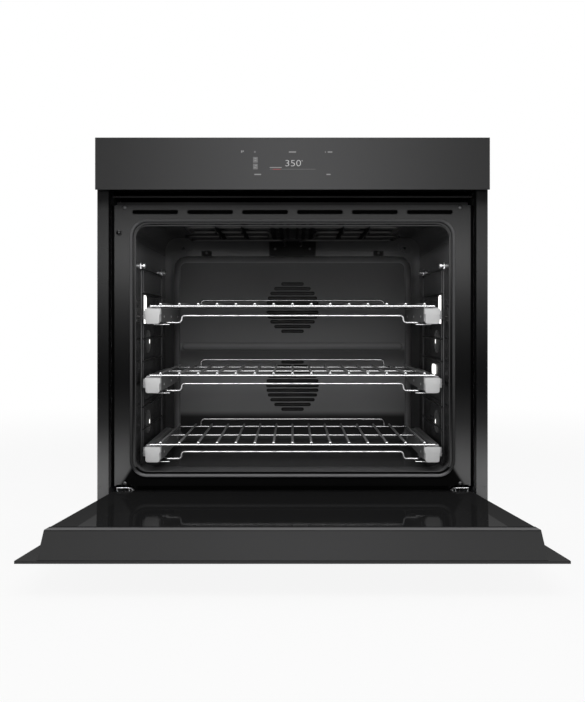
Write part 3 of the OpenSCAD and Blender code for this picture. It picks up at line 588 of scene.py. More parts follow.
def weave_map(made, path):
    """UV map from the length along the path and the share of the way round the seal.

    Where a face joins the last ring or side to the first, the first counts as one more.
    """
    step = np.linalg.norm(np.roll(path, -1, axis=0) - path, axis=1)
    length = np.concatenate([[0], np.cumsum(step)])
    rows = len(path)
    corner = np.empty(len(made.data.loops), np.int32)
    made.data.loops.foreach_get("vertex_index", corner)
    row = (corner // seal_sides).reshape(-1, 4)
    column = (corner % seal_sides).reshape(-1, 4)
    row = np.where((row == 0) & (row.max(axis=1, keepdims=True) == rows - 1), rows, row)
    column = np.where((column == 0) & (column.max(axis=1, keepdims=True) == seal_sides - 1),
                      seal_sides, column)
    flat = np.stack([length[row.ravel()], column.ravel() / seal_sides], axis=-1)
    made.data.uv_layers.new(name="weave").data.foreach_set("uv", flat.ravel())


weave_map(door_seal, seal_path)
lip_path = mouth_line(half=308.6 * mm, low_z=86.9 * mm, high_z=570.2 * mm,
                      depth=seal_middle + 2 * mm, radius=24 * mm)
lip_steel = black_coat("lip_enamel", (0.020, 0.020, 0.0205), gloss=0.55, rough=0.12)
piece("mouth_lip", [round_wire(lip_path, across, thick=3.0 * mm, closed=True)], lip_steel,
      "oven")

# ---------------------------------------------------------------- screws of the front
# Dome-headed screws with a cross recess. Four bright ones hold the front frame,
# and four black ones go through the trim into the cabinet's sides.


def square_to(axis):
    """Two directions that stand square to the axis and to each other."""
    aside = np.cross(axis, upward if abs(axis[2]) < 0.9 else rightward)
    aside /= np.linalg.norm(aside)
    return aside, np.cross(axis, aside)


def turned(centre, axis, profile, sides=24):
    """Round part turned about an axis: the profile lists (radius, place along the axis)."""
    axis = np.array(axis, float)
    aside, third = square_to(axis)
    turn = np.arange(sides) * 2 * math.pi / sides
    around = np.cos(turn)[:, None] * aside + np.sin(turn)[:, None] * third
    profile = np.array(profile, float)
    points = np.array(centre) + profile[:, None, 1:] * axis + profile[:, None, :1] * around
    return shell(points, loop_v=True, ends=True)


def cross_head(centre, axis, radius, rise):
    """Screw head: a dome whose height falls away inside a plus sign for the driver.

    The dome's height at radius r is rise * (1 - (r / radius) ^ 3). Inside half the radius
    the recess takes 0.7 of the rise off where |u| or |v| is under a tenth of the radius,
    and its walls slope up from there to 0.18 of the radius.
    """
    aside, third = square_to(axis)
    share = np.linspace(0.02, 1, 14)[:, None]
    turn = np.linspace(0, 2 * math.pi, 40, endpoint=False)[None]
    u, v = share * np.cos(turn), share * np.sin(turn)
    narrow = np.minimum(np.abs(u), np.abs(v))
    recess = (1 - np.clip((narrow - 0.10) / 0.08, 0, 1)) * (1 - np.clip((share - 0.5) / 0.1, 0, 1))
    height = rise * (1 - share ** 3) - 0.7 * rise * recess
    top = (np.array(centre) + axis * height[..., None]
           + radius * (u[..., None] * aside + v[..., None] * third))
    foot = top[-1:] - axis * 0.4 * mm
    return shell(np.concatenate([top, foot]), loop_v=True, ends=True)


def bright_metal(name, low_tone, high_tone, rough):
    """Bare metal with a grain 0.01 mm deep and a soft cloud in its shine."""
    shader = Shader(name)
    cloud = shader.noise(30.0)
    fine = shader.noise(400.0, detail=2.0)
    return shader.finish(
        Base_Color=shader.mix(cloud, low_tone, high_tone), Metallic=1.0,
        Roughness=cloud * 0.12 + rough,
        Normal=shader.bump(fine, depth=0.01 * mm, strength=0.4))


screw_steel = bright_metal("screw_steel", (0.10, 0.10, 0.103), (0.18, 0.18, 0.185), rough=0.30)
screws_box = flat_box("frame_screws")
head_radius = 3.6 * mm
screw_rows = [screws_box[0] + head_radius, screws_box[1] - head_radius]
front_screws = [cross_head((x, frame_face - 0.5 * mm, z), -across, head_radius, rise=1.5 * mm)
                for x in (screw_rows[0][0], screw_rows[1][0])
                for z in (screw_rows[0][2], screw_rows[1][2])]
piece("frame_screw_heads", front_screws, screw_steel, "oven", ["frame_screws"])
trim_face = flat_box("mounting_trim")[0][1]
trim_hole_x = 371.5 * mm
trim_hole_levels = (60 * mm, 615.2 * mm)
cabinet_screws = [cross_head((side * trim_hole_x, trim_face + 1.1 * mm, z), -across,
                             radius=3.9 * mm, rise=0.5 * mm)
                  for side in (-1, 1) for z in trim_hole_levels]
piece("cabinet_screw_heads", cabinet_screws, trim_black, "oven")

# ---------------------------------------------------------------- screws and beads of the covers
# Hex-headed screws hold the covers to each other along their folded edges. Beads
# pressed into the big sheets stop them from drumming, and louvres let out the air.

side_box, rear_box, top_box = (flat_box(name) for name in
                               ("side_panels", "rear_cover", "top_cover"))
zinc_screw = bright_metal("zinc_screw", (0.50, 0.50, 0.51), (0.66, 0.66, 0.67), rough=0.30)


def hex_head(centre, axis):
    """Hexagon 8 mm across its corners with a chamfered top, on a round flange."""
    flange = np.array([(5.0, -0.3), (5.0, 0.5), (3.9, 1.0)]) * mm
    hexagon = np.array([(4.0, 0.6), (4.0, 3.0), (3.3, 3.5)]) * mm
    return [turned(centre, axis, flange, sides=20), turned(centre, axis, hexagon, sides=6)]


cover_heads = []
rear_face, top_face = rear_box[1][1], top_box[1][2]
rear_margin, fold_margin, end_margin = 12 * mm, 14 * mm, 30 * mm
for side in (-1, 1):
    for share in (0.04, 0.35, 0.65, 0.96):
        level = rear_box[0][2] + share * (rear_box[1][2] - rear_box[0][2])
        cover_heads += hex_head((side * (rear_box[1][0] - rear_margin), rear_face, level), across)
        depth = (side_box[0][1] + end_margin
                 + share * (side_box[1][1] - side_box[0][1] - 2 * end_margin))
        for level in (fold_margin, side_box[1][2] - fold_margin):
            cover_heads += hex_head((side * side_box[1][0], depth, level), (side, 0, 0))
        cover_heads += hex_head((side * (top_box[1][0] - fold_margin), depth, top_face), upward)
piece("cover_heads", cover_heads, zinc_screw, "oven", smooth=False)


def bead(path, normal, wide, rise):
    """Shallow bead along a closed path on a sheet: an ellipse of that width, half sunk in it."""
    sides = 16
    turn = np.arange(sides) * 2 * math.pi / sides
    ring = np.stack([np.cos(turn) * wide / 2, np.sin(turn) * rise], axis=-1)
    return shell(carried(path, normal, ring, True), True, True)


def bead_frame(centre, first, second, normal, half_first, half_second):
    """Bead in the shape of a rectangle with round corners, in the plane of two directions."""
    corners = [centre + first * a * half_first + second * b * half_second
               for a, b in ((-1, -1), (1, -1), (1, 1), (-1, 1))]
    path = closed_bent(corners, radius=40 * mm, steps=9)
    return bead(path, normal, wide=9 * mm, rise=1.4 * mm)


beads = []
side_middle = (side_box[0] + side_box[1]) / 2
for side in (-1, 1):
    for level in (0.27, 0.73):
        centre = np.array([side * side_box[1][0], side_middle[1],
                           side_box[0][2] + level * (side_box[1][2] - side_box[0][2])])
        beads.append(bead_frame(centre, across, upward, rightward,
                                half_first=215 * mm, half_second=118 * mm))
top_middle = (top_box[0] + top_box[1]) / 2
top_middle[2] = top_face
top_long = top_box[1][1] - top_box[0][1]
beads += [bead_frame(top_middle + rightward * side * 160 * mm, rightward, across, upward,
                     half_first=125 * mm, half_second=0.36 * top_long) for side in (-1, 1)]
rear_middle = np.array([0, rear_face, 300 * mm])
beads.append(bead_frame(rear_middle, rightward, upward, across,
                        half_first=275 * mm, half_second=190 * mm))
piece("cover_beads", beads, zinc, "oven")

# Louvres of the rear cover, in two fields, each a hood that opens downwards on a
# black slot.
hood_section = np.array([(-5, 0), (-5, 3.0), (-3.4, 3.6), (-0.8, 3.1), (2.4, 1.5), (5, 0)]) * mm
slot_section = np.array([(0, 0.3), (0, 2.8), (0.1, 2.8), (0.1, 0.3)]) * mm
slot_under = upward * 5.15 * mm
hood_half = 60 * mm
hood_levels = [(560 + 15 * k) * mm for k in range(7)]
hoods, mouths = [], []
for field in (-90 * mm, 90 * mm):
    for level in hood_levels:
        line = np.array([(field - hood_half, rear_face - 0.2 * mm, level),
                         (field + hood_half, rear_face - 0.2 * mm, level)])
        hoods.append(shell(carried(line, across, hood_section), loop_v=True, ends=True))
        mouths.append(shell(carried(line - slot_under, across, slot_section),
                            loop_v=True, ends=True))
piece("rear_louvres", hoods, zinc, "oven", smooth=False)
piece("louvre_mouths", mouths, duct_black, "oven", smooth=False)

# Rating plate: a bare aluminium sheet of 100 by 44 mm, left without any text.
plate_aluminium = bright_metal("plate_aluminium", (0.66, 0.66, 0.67), (0.76, 0.76, 0.77),
                               rough=0.34)
plate_level = 530 * mm
plate_line = np.array([(150 * mm, rear_face, plate_level), (250 * mm, rear_face, plate_level)])
plate_section = np.array([(-22, -0.2), (-22, 0.4), (-21.8, 0.6), (21.8, 0.6), (22, 0.4),
                          (22, -0.2)]) * mm
piece("rating_plate", [shell(carried(plate_line, across, plate_section), loop_v=True, ends=True)],
      plate_aluminium, "oven")

# ---------------------------------------------------------------- cavity
# The liner is a welded steel box with round corners, enamelled inside in dark
# grey with fine pale flecks, and wrapped in a blanket of glass wool.


def grey_enamel(name, ground, fleck, gloss, share, painted_light_share):
    """Glass enamel: a dark ground with pale flecks, a soft ripple and a hard shine.

    The last argument gives the share of the ground's tone at each place, which paints light and
    shade on the enamel.
    """
    fleck_size = 0.0013
    shader = Shader(name)
    cells = shader.node("TexVoronoi", {"feature": "F1"}, {
        "Vector": shader.place(), "Scale": 1.0 / fleck_size, "Randomness": 1.0})
    chosen = shader.node("SeparateColor", {}, {"Color": cells["Color"]})["Red"]
    flecks = (chosen > 0.90) * (1 - cells["Distance"].step(0.12, 0.34))
    cloud = shader.noise(5.0, detail=2.0)
    ground_tone = shader.mix(cloud, ground, tuple(part * 1.18 for part in ground))
    flecked = shader.mix(flecks * 0.55, ground_tone, fleck)
    ripple = shader.noise(95.0, detail=2.0)
    return shader.finish(
        # Painted light and shade from that share.
        Base_Color=shader.mix(painted_light_share(*shader.axes()), (0.0, 0.0, 0.0), flecked),
        Roughness=0.5, Specular_IOR_Level=0.0, Coat_Weight=cloud * 0.1 + share,
        Coat_Roughness=gloss,
        Normal=shader.bump(ripple, depth=0.12 * mm, strength=0.35))


def painted_light_liner(x, y, z):
    """Painted light on the liner: paler high up on its side walls and along the front of its floor.
    """
    wall = abs(x).step(0.290, 0.305) * z.step(0.40, 0.49) * (1 - z.step(0.520, 0.550))
    floor_front = (1 - z.step(0.092, 0.100)) * (1 - y.step(0.112, 0.124))
    return wall * 0.55 + floor_front * 0.55 + 0.45


cavity_enamel = grey_enamel("cavity_enamel", (0.122, 0.122, 0.1247), (0.28, 0.28, 0.285),
                            gloss=0.18, share=0.42, painted_light_share=painted_light_liner)
dress(cavity_enamel, "cavity_liner")


def glass_wool():
    """Yellow-grey wool with long clouds of fibre, and a black glass-cloth facing at its front."""
    shader = Shader("insulation_wool")
    y = shader.axes()[1]
    fibre = shader.noise(240.0, detail=5.0, stretch=(1, 0.25, 1))
    wool = shader.mix(fibre, (0.42, 0.38, 0.27), (0.66, 0.62, 0.50))
    return shader.finish(
        Base_Color=shader.mix(y.step(0.060, 0.064), (0.003, 0.003, 0.003), wool),
        Roughness=0.95, Specular_IOR_Level=0.1,
        Normal=shader.bump(fibre, depth=2 * mm, strength=0.8))


dress(glass_wool(), "insulation")

# ---------------------------------------------------------------- fan baffle
# Pressed panel that covers both convection fans: its edge slopes back to the
# wall, a rib crosses its middle, and two round grilles draw the air in.


def painted_light_panel(x, y, z):
    """Painted light and shade on the panel: paler downwards to its rib, with a painted highlight
    along the rib's top, paler again down to 0.24 m, and a painted shadow at its foot.
    """
    upper = (1 - z.step(0.325, 0.520)) * 0.52 - (1 - z.step(0.306, 0.318)) * 0.48
    lower = (1 - z.step(0.240, 0.306)) * 0.65 - (1 - z.step(0.165, 0.235)) * 0.37
    foot = (1 - z.step(0.148, 0.166)) * 0.55
    rib_highlight = z.step(0.3190, 0.3205) * (1 - z.step(0.3265, 0.3280)) * 0.30
    return upper + lower - foot + rib_highlight + 0.30


baffle_enamel = grey_enamel("baffle_enamel", (0.30, 0.30, 0.304), (0.42, 0.42, 0.425),
                            gloss=0.30, share=0.10, painted_light_share=painted_light_panel)
baffle_low, baffle_high = flat_box("fan_baffle")
baffle_wall = baffle_high[1]
baffle_face = baffle_low[1] + 3 * mm
baffle_slope = 18 * mm
baffle_half = (baffle_high[0], (baffle_high[2] - baffle_low[2]) / 2)
baffle_middle = (baffle_high[2] + baffle_low[2]) / 2
fan_levels = [225.1 * mm, 413.9 * mm]
grille_radius = 63 * mm
grille_rows = 11
row_step = 2 * grille_radius / grille_rows


def outline(half_x, low_z, high_z, radius, steps):
    """Outline of a plate's front: a quarter turn of that radius about each corner's centre."""
    turn = np.linspace(0, math.pi / 2, steps)
    parts = []
    for quarter, (centre_x, centre_z) in enumerate((
            (half_x - radius, high_z - radius), (radius - half_x, high_z - radius),
            (radius - half_x, low_z + radius), (half_x - radius, low_z + radius))):
        angle = turn + quarter * math.pi / 2
        parts.append(np.stack([centre_x + radius * np.cos(angle),
                               centre_z + radius * np.sin(angle)], axis=-1))
    return np.concatenate(parts)


def pressed(rows, half, middle, radius, loop=False, ends=False):
    """Plate seen from the front: row (inset, y) is its outline drawn in by inset at depth y."""
    rings = []
    for inset, depth in rows:
        flat = outline(half[0] - inset, middle - half[1] + inset, middle + half[1] - inset,
                       max(radius - inset, 1 * mm), steps=8)
        rings.append(np.stack([flat[:, 0], np.full(len(flat), depth), flat[:, 1]], axis=-1))
    return shell(np.array(rings), loop_u=loop, loop_v=True, ends=ends)


def filled_mesh(curve):
    """The mesh of a flat curve, merged and with its normals turned outwards."""
    held = bpy.data.objects.new(curve.name + "_curve", curve)
    scene.collection.objects.link(held)
    bpy.context.view_layer.update()
    mesh = bpy.data.meshes.new_from_object(held.evaluated_get(
        bpy.context.evaluated_depsgraph_get()))
    bpy.data.objects.remove(held)
    joined = bmesh.new()
    joined.from_mesh(mesh)
    bmesh.ops.remove_doubles(joined, verts=joined.verts, dist=1e-6)
    bmesh.ops.recalc_face_normals(joined, faces=joined.faces)
    joined.to_mesh(mesh)
    joined.free()
    mesh.name = curve.name
    return mesh


def stand_up(mesh, place, widen=1.0):
    """Takes each point (x, y, z) of a mesh to (x * widen, -z, y), and moves it by the place."""
    flat = np.empty(len(mesh.vertices) * 3)
    mesh.vertices.foreach_get("co", flat)
    x, y, z = flat.reshape(-1, 3).T
    mesh.vertices.foreach_set("co", (np.stack([x * widen, -z, y], axis=-1) + place).ravel())


def pierced_sheet(name, edge, holes, thick, face, material, body, replaces):
    """Flat sheet with holes: a filled curve of closed lines, stood up with its front at face."""
    curve = bpy.data.curves.new(name, "CURVE")
    curve.dimensions = "2D"
    curve.fill_mode = "BOTH"
    curve.extrude = thick / 2
    for line in (edge, *holes):
        points = np.ones((len(line), 4))
        points[:, :2] = line
        points[:, 2] = 0
        spline = curve.splines.new("POLY")
        spline.points.add(len(line) - 1)
        spline.points.foreach_set("co", points.ravel())
        spline.use_cyclic_u = True
    mesh = filled_mesh(curve)
    stand_up(mesh, (0, face + thick / 2, 0))
    return mounted(name, mesh, material, body, replaces)


def grille_hole(fan_level, row):
    """Slot of a grille: as long as the chord of its circle at that row, with round ends."""
    off = (row - (grille_rows - 1) / 2) * row_step
    shortest = 20 * mm
    half = math.sqrt(max(grille_radius ** 2 - off ** 2, shortest ** 2))
    tall = row_step * 0.52 / 2
    level = fan_level + off
    return outline(half, level - tall, level + tall, radius=tall * 0.99, steps=6)


face_half = (baffle_half[0] - baffle_slope, baffle_half[1] - baffle_slope)
face_edge = outline(face_half[0], baffle_middle - face_half[1], baffle_middle + face_half[1],
                    radius=14 * mm, steps=8)
grille_holes = [grille_hole(level, row) for level in fan_levels for row in range(grille_rows)]
pierced_sheet("baffle_face", face_edge, grille_holes, 1.2 * mm, baffle_face, baffle_enamel,
              "oven", ["fan_baffle"])
outside = [(0, baffle_wall - 0.2 * mm), (0.6 * mm, baffle_wall - 3 * mm),
           (baffle_slope - 3.5 * mm, baffle_face + 1.6 * mm),
           (baffle_slope - 1.5 * mm, baffle_face + 0.5 * mm), (baffle_slope, baffle_face)]
inside = [(baffle_slope - 1.2 * mm, baffle_face + 1.8 * mm),
          (baffle_slope - 2.5 * mm, baffle_face + 2.8 * mm), (2 * mm, baffle_wall - 0.2 * mm)]


def painted_light_slope(x, y, z):
    """Painted light on the edge: paler at both sides, and left darker at top, foot and front bend
    as painted shade.
    """
    bend = 1 - y.step(baffle_face + 0.8 * mm, baffle_face + 2.4 * mm)
    side = abs(x).step(0.257, 0.265) * (1 - z.step(0.47, 0.52))
    return (side * 0.32 + 0.4) * (1 - bend * side * 0.55)


# Painted light: the edge is a much paler copy of the baffle's enamel.
painted_light_slope_enamel = grey_enamel("painted_light_slope_enamel", (0.65, 0.65, 0.66), (0.75, 0.75, 0.76),
                           gloss=0.24, share=0.15, painted_light_share=painted_light_slope)
slope_shell = pressed(outside + inside, baffle_half, baffle_middle, radius=32 * mm, loop=True)
piece("baffle_slope", [slope_shell], painted_light_slope_enamel, "oven")
rib_rows = [(0, baffle_face + 0.3 * mm), (0.8 * mm, baffle_face - 0.6 * mm),
            (3 * mm, baffle_face - 2.2 * mm), (4.5 * mm, baffle_face - 2.7 * mm),
            (6 * mm, baffle_face - 2.8 * mm)]
rib_half = (face_half[0] - 4 * mm, 9.8 * mm)
rib_shell = pressed(rib_rows, rib_half, sum(fan_levels) / 2, radius=9.6 * mm, ends=True)
piece("baffle_rib", [rib_shell], baffle_enamel, "oven")

# Painted shade: black rings at the holes' edges.
hole_shade_black = black_coat("hole_shade_black", (0.004, 0.004, 0.004), gloss=0.05)
hole_shade_rings = []
for hole in grille_holes:
    x, z = hole.T
    line = np.stack([x, np.full_like(x, baffle_face - 0.2 * mm), z], axis=-1)
    hole_shade_rings.append(round_wire(line, across, thick=2.2 * mm, closed=True, sides=6))
piece("grille_shade_rings", hole_shade_rings, hole_shade_black, "oven")

# ---------------------------------------------------------------- elements
# Sheathed heating tubes, oxidised to a dull grey by the heat. The upper one
# winds under the ceiling in black hangers, and one ring lies round each fan.


def heated_tube():
    """Oxidised sheath: blotches of dull grey and brown-black."""
    shader = Shader("element_tube")
    blotch = shader.noise(60.0, detail=4.0)
    return shader.finish(
        Base_Color=shader.mix(blotch, (0.035, 0.0345, 0.034), (0.085, 0.084, 0.082)),
        Metallic=0.8, Roughness=blotch * 0.15 + 0.36,
        Normal=shader.bump(blotch, depth=0.1 * mm, strength=0.3))


element_tube = heated_tube()
dress(element_tube, "bake_element", "ring_elements")

broil_low, broil_high = flat_box("broil_element")
tube_thick = 7 * mm
broil_level = (broil_low[2] + broil_high[2]) / 2 + 8 * mm
liner_low, liner_high = flat_box("cavity_liner")
frame_back = liner_low[1]
cavity_depth = 475 * mm
cavity_back = frame_back + cavity_depth
mouth_half = 310 * mm
bar_rows = [frame_back + place * mm for place in (43, 155, 267, 379)]
broil_far = mouth_half * 0.77
broil_near = mouth_half * 0.69
broil_turn = 48 * mm
broil_leg = 20 * mm


def broil_path(side):
    """Half of the serpentine, from its terminal in the back wall to the middle of the front bar."""
    plan = [(broil_leg, broil_high[1]), (broil_leg, bar_rows[3]), (broil_far, bar_rows[3]),
            (broil_far, bar_rows[2]), (broil_turn, bar_rows[2]), (broil_turn, bar_rows[1]),
            (broil_near, bar_rows[1]), (broil_near, bar_rows[0]), (0, bar_rows[0])]
    return bent([(side * x, y, broil_level) for x, y in plan], radius=15 * mm, steps=9)


left_half, right_half = broil_path(-1), broil_path(1)
serpentine = np.concatenate([left_half, right_half[-2::-1]])
piece("broil_tube", [round_wire(serpentine, upward, tube_thick, sides=14)], element_tube,
      "oven", ["broil_element"])


def slab(low, high, edge, corner=0.5 * mm, axis=1):
    """Sheet with ground edges: its outline is drawn in by edge at both faces along the axis."""
    low, high = np.array(low, float), np.array(high, float)
    others = [k for k in range(3) if k != axis]
    rings = []
    for inset, place in ((edge, low[axis]), (0, low[axis] + edge),
                         (0, high[axis] - edge), (edge, high[axis])):
        half = (high - low)[others] / 2 - inset
        centre = ((high + low) / 2)[others]
        flat = outline(half[0], -half[1], half[1], corner, steps=4) + centre
        ring = np.empty((len(flat), 3))
        ring[:, others] = flat
        ring[:, axis] = place
        rings.append(ring)
    return shell(np.array(rings), loop_v=True, ends=True)


# Hangers: enamelled straps that run front to back under the tubes, each with a
# foot up to the ceiling between the bars. The terminals' cover stands behind.
hanger_black = black_coat("hanger_black", (0.002, 0.002, 0.002), gloss=0.03)
dress(hanger_black, "broil_terminal_cover")
strap_top = broil_level - tube_thick / 2 - 0.1 * mm
strap_low = strap_top - 1.6 * mm
straps = []
for x, wide in ((-152, 8), (-101, 8), (-40, 9), (-23.5, 7), (-9.5, 5),
                (9.5, 5), (23.5, 7), (40, 9), (101, 8), (152, 8)):
    left, right = (x - wide / 2) * mm, (x + wide / 2) * mm
    straps.append(slab((left, bar_rows[0] - 12 * mm, strap_low),
                       (right, bar_rows[2] + 14 * mm, strap_top),
                       edge=0.4 * mm, corner=1 * mm, axis=2))
    for foot in ((bar_rows[0] + bar_rows[1]) / 2, (bar_rows[1] + bar_rows[2]) / 2):
        straps.append(slab((left, foot - 1 * mm, strap_low + 0.2 * mm),
                           (right, foot + 1 * mm, liner_high[2] - 2.4 * mm),
                           edge=0.3 * mm, corner=0.4 * mm))
piece("broil_straps", straps, hanger_black, "oven", smooth=False)
cover_front = cavity_back - 30 * mm
bracket_front = cavity_back - 8 * mm
cover_screws = [cross_head((side * x, y, z), -across, radius=3.4 * mm, rise=1.4 * mm)
                for x, y, z in ((42 * mm, cover_front, 556 * mm),
                                (210 * mm, bracket_front, 547.5 * mm)) for side in (-1, 1)]
piece("cover_screws", cover_screws, screw_steel, "oven")

# ---------------------------------------------------------------- lamps
# Halogen bulbs in glazed sockets behind round lenses of dark glass in both side
# walls. Only the heart of each lens glows, and its rim is enamelled steel.

lens_low, lens_high = flat_box("lamp_lenses")
lens_radius = 24 * mm
lens_depth = (lens_low[1] + lens_high[1]) / 2
lens_levels = [lens_low[2] + lens_radius, lens_high[2] - lens_radius]


def lens_glass():
    """Dark glass that glows by its distance from the nearer lens's centre, inside a dark rim."""
    shader = Shader("lamp_lens")
    _, y, z = shader.axes()
    up = abs(z - sum(lens_levels) / 2) - (lens_levels[1] - lens_levels[0]) / 2
    out = ((y - lens_depth) * (y - lens_depth) + up * up).maths("SQRT")
    heart = 1 - out.step(0.003, 0.0065)
    rim = out.step(0.0185, 0.0195)
    return shader.finish(
        Base_Color=shader.mix(rim, (0.045, 0.045, 0.045), (0.010, 0.010, 0.010)),
        Roughness=rim * 0.2 + 0.12, Specular_IOR_Level=0.25,
        Emission_Color=shader.mix(heart, (0.010, 0.010, 0.010), (1.0, 0.99, 0.96)),
        Emission_Strength=2.2)


def lamp_ceramic():
    """Glazed ceramic socket."""
    shader = Shader("lamp_ceramic")
    cloud = shader.noise(70.0)
    return shader.finish(Base_Color=shader.mix(cloud, (0.66, 0.64, 0.60), (0.78, 0.76, 0.72)),
                         Roughness=cloud * 0.1 + 0.3)


def lamp_glow(name, strength):
    """Lit halogen glass, warm in the middle."""
    shader = Shader(name)
    cloud = shader.noise(80.0)
    return shader.finish(Base_Color=(0.8, 0.8, 0.8), Roughness=0.2,
                         Emission_Color=shader.mix(cloud, (1.0, 0.98, 0.94), (1.0, 1.0, 0.98)),
                         Emission_Strength=strength)


dress(lens_glass(), "lamp_lenses")
dress(lamp_ceramic(), "lamp_holders")
dress(lamp_glow("lamp_bulb", strength=1.5), "lamp_bulbs")

# Painted light: glowing plates in each side wall beside the upper slide stand for lamp light on the
# walls, and a small one over the middle slide at the right stands for a glare.
glow_inner, glow_outer = 308.4 * mm, 310.6 * mm


def side_slab(side, inner, outer, low, high, edge, corner):
    """Sheet that faces a side wall, from inner to outer off the middle; low and high are (y, z)."""
    first, last = sorted((side * inner, side * outer))
    return slab((first, *low), (last, *high), edge, corner, axis=0)


painted_glow_plates = [side_slab(side, glow_inner, glow_outer, low, high, edge=0.6 * mm, corner=8 * mm)
                for side, low, high in ((-1, (131 * mm, 377 * mm), (170 * mm, 436 * mm)),
                                        (1, (131 * mm, 377 * mm), (170 * mm, 436 * mm)),
                                        (1, (222 * mm, 266 * mm), (268 * mm, 288 * mm)))]
# Painted light: these plates glow though they are no lamps.
painted_glow_glass = lamp_glow("painted_glow_glass", strength=1.6)
piece("painted_glow_plates", painted_glow_plates, painted_glow_glass, "oven")

# ---------------------------------------------------------------- temperature sensors
# A thin steel probe that reaches through the back wall and feels the oven's heat,
# and the socket for the plug of a meat probe.

dark_steel = bright_metal("dark_steel", (0.035, 0.035, 0.036), (0.070, 0.070, 0.072), rough=0.36)
dress(dark_steel, "temperature_sensor", "probe_socket")

# ---------------------------------------------------------------- side ladders
# Wire frames, darkened as painted shade, that hang on two bright studs in each side wall.
# Their rungs carry the outer rails of the slides at any of several levels.

# Painted shade: the wire is made dark for the shade it stands in.
shaded_wire = bright_metal("shaded_wire", (0.050, 0.050, 0.051), (0.11, 0.11, 0.112), rough=0.34)
ladder_low, ladder_high = flat_box("side_ladders")
ladder_thick = 4 * mm
ladder_x = ladder_high[0] - ladder_thick / 2
ladder_front = ladder_low[1] + 8 * mm
ladder_back = ladder_high[1] - 8 * mm
ladder_foot = ladder_low[2] + ladder_thick / 2
ladder_top = ladder_high[2] - ladder_thick / 2
rack_drop = 137.2 * mm
cap_low, cap_high = flat_box("slide_caps_1")
cap_drop = 4.6 * mm
cap_tall = cap_high[2] - cap_low[2]
top_level = cap_high[2] + cap_drop
levels = [top_level - k * rack_drop for k in range(3)]
knob_low, knob_high = flat_box("ladder_knobs")
knob_level = (knob_low[2] + knob_high[2]) / 2


def ladder(side):
    """One frame: a closed loop, a second front post, and a rung for each third of a level."""
    x = side * ladder_x
    loop = closed_bent([(x, ladder_front, ladder_foot), (x, ladder_back, ladder_foot),
                        (x, ladder_back, ladder_top), (x, ladder_front, ladder_top)],
                       radius=9 * mm)
    post = ladder_front + 23 * mm
    wires = [round_wire(loop, rightward, ladder_thick, closed=True),
             round_wire([(x, post, ladder_foot), (x, post, ladder_top)], rightward, ladder_thick)]
    lowest = levels[2] - cap_drop - cap_tall / 2
    rungs = [lowest + k * rack_drop / 3 for k in range(8)]
    return wires + [round_wire([(x, ladder_front, rung), (x, ladder_back, rung)],
                               rightward, ladder_thick) for rung in rungs]


def hooks(side):
    """The two hooks by which a frame hangs over its studs."""
    x = side * ladder_x
    half, top = 6.5 * mm, knob_level + 6 * mm
    lines = [bent([(x, depth - half, ladder_top), (x, depth - half, top),
                   (x, depth + half, top), (x, depth + half, ladder_top)], radius=6 * mm)
             for depth in (ladder_front, ladder_back)]
    return [round_wire(line, rightward, ladder_thick * 0.8) for line in lines]


piece("ladder_wires", ladder(-1) + ladder(1), shaded_wire, "oven",
      ["side_ladders"])

wall_x = 311 * mm
stud_head = ladder_x - 10 * mm


def stud(side, depth):
    """Turned stud: the neck that the ladder hangs on, between a head and a flange at the wall."""
    length = wall_x - stud_head
    profile = [(1.5 * mm, 0), (3.6 * mm, 0.3 * mm), (5.0 * mm, 1.4 * mm), (5.0 * mm, 5.2 * mm),
               (3.2 * mm, 6.0 * mm), (3.2 * mm, length - 6 * mm), (4.4 * mm, length - 5 * mm),
               (4.4 * mm, length - 0.3 * mm), (3.0 * mm, length)]
    return turned((side * stud_head, depth, knob_level), (side, 0, 0), profile)


bright_steel = bright_metal("bright_steel", (0.78, 0.78, 0.79), (0.92, 0.92, 0.92), rough=0.24)
piece("ladder_hooks", hooks(-1) + hooks(1), bright_steel, "oven")
piece("ladder_studs", [stud(side, depth) for side in (-1, 1)
                       for depth in (ladder_front, ladder_back)],
      bright_steel, "oven", ["ladder_knobs"])

# ---------------------------------------------------------------- slides
# Three-part telescopic slides of pressed steel. The inner rail carries the rack,
# is riveted to its stiffener and has a pale cap of die-cast zinc at its front.

slide_steel = bright_metal("slide_steel", (0.40, 0.40, 0.406), (0.52, 0.52, 0.527), rough=0.42)
dress(slide_steel, "slide_rails_fixed", *(f"slide_{part}_{k}" for part in ("inner", "mid")
                                          for k in (1, 2, 3)))


def cast_zinc():
    """Pale die-cast caps with a fine sand finish."""
    shader = Shader("slide_cap")
    sand = shader.noise(1500.0, detail=2.0)
    cloud = shader.noise(40.0)
    return shader.finish(
        Base_Color=shader.mix(cloud, (0.60, 0.60, 0.60), (0.70, 0.70, 0.70)), Metallic=0.0,
        Roughness=cloud * 0.1 + 0.32,
        Normal=shader.bump(sand, depth=0.03 * mm, strength=0.4))


slide_cap = cast_zinc()
slide_in = cap_high[0] - 31.7 * mm
cap_step = 11.5 * mm


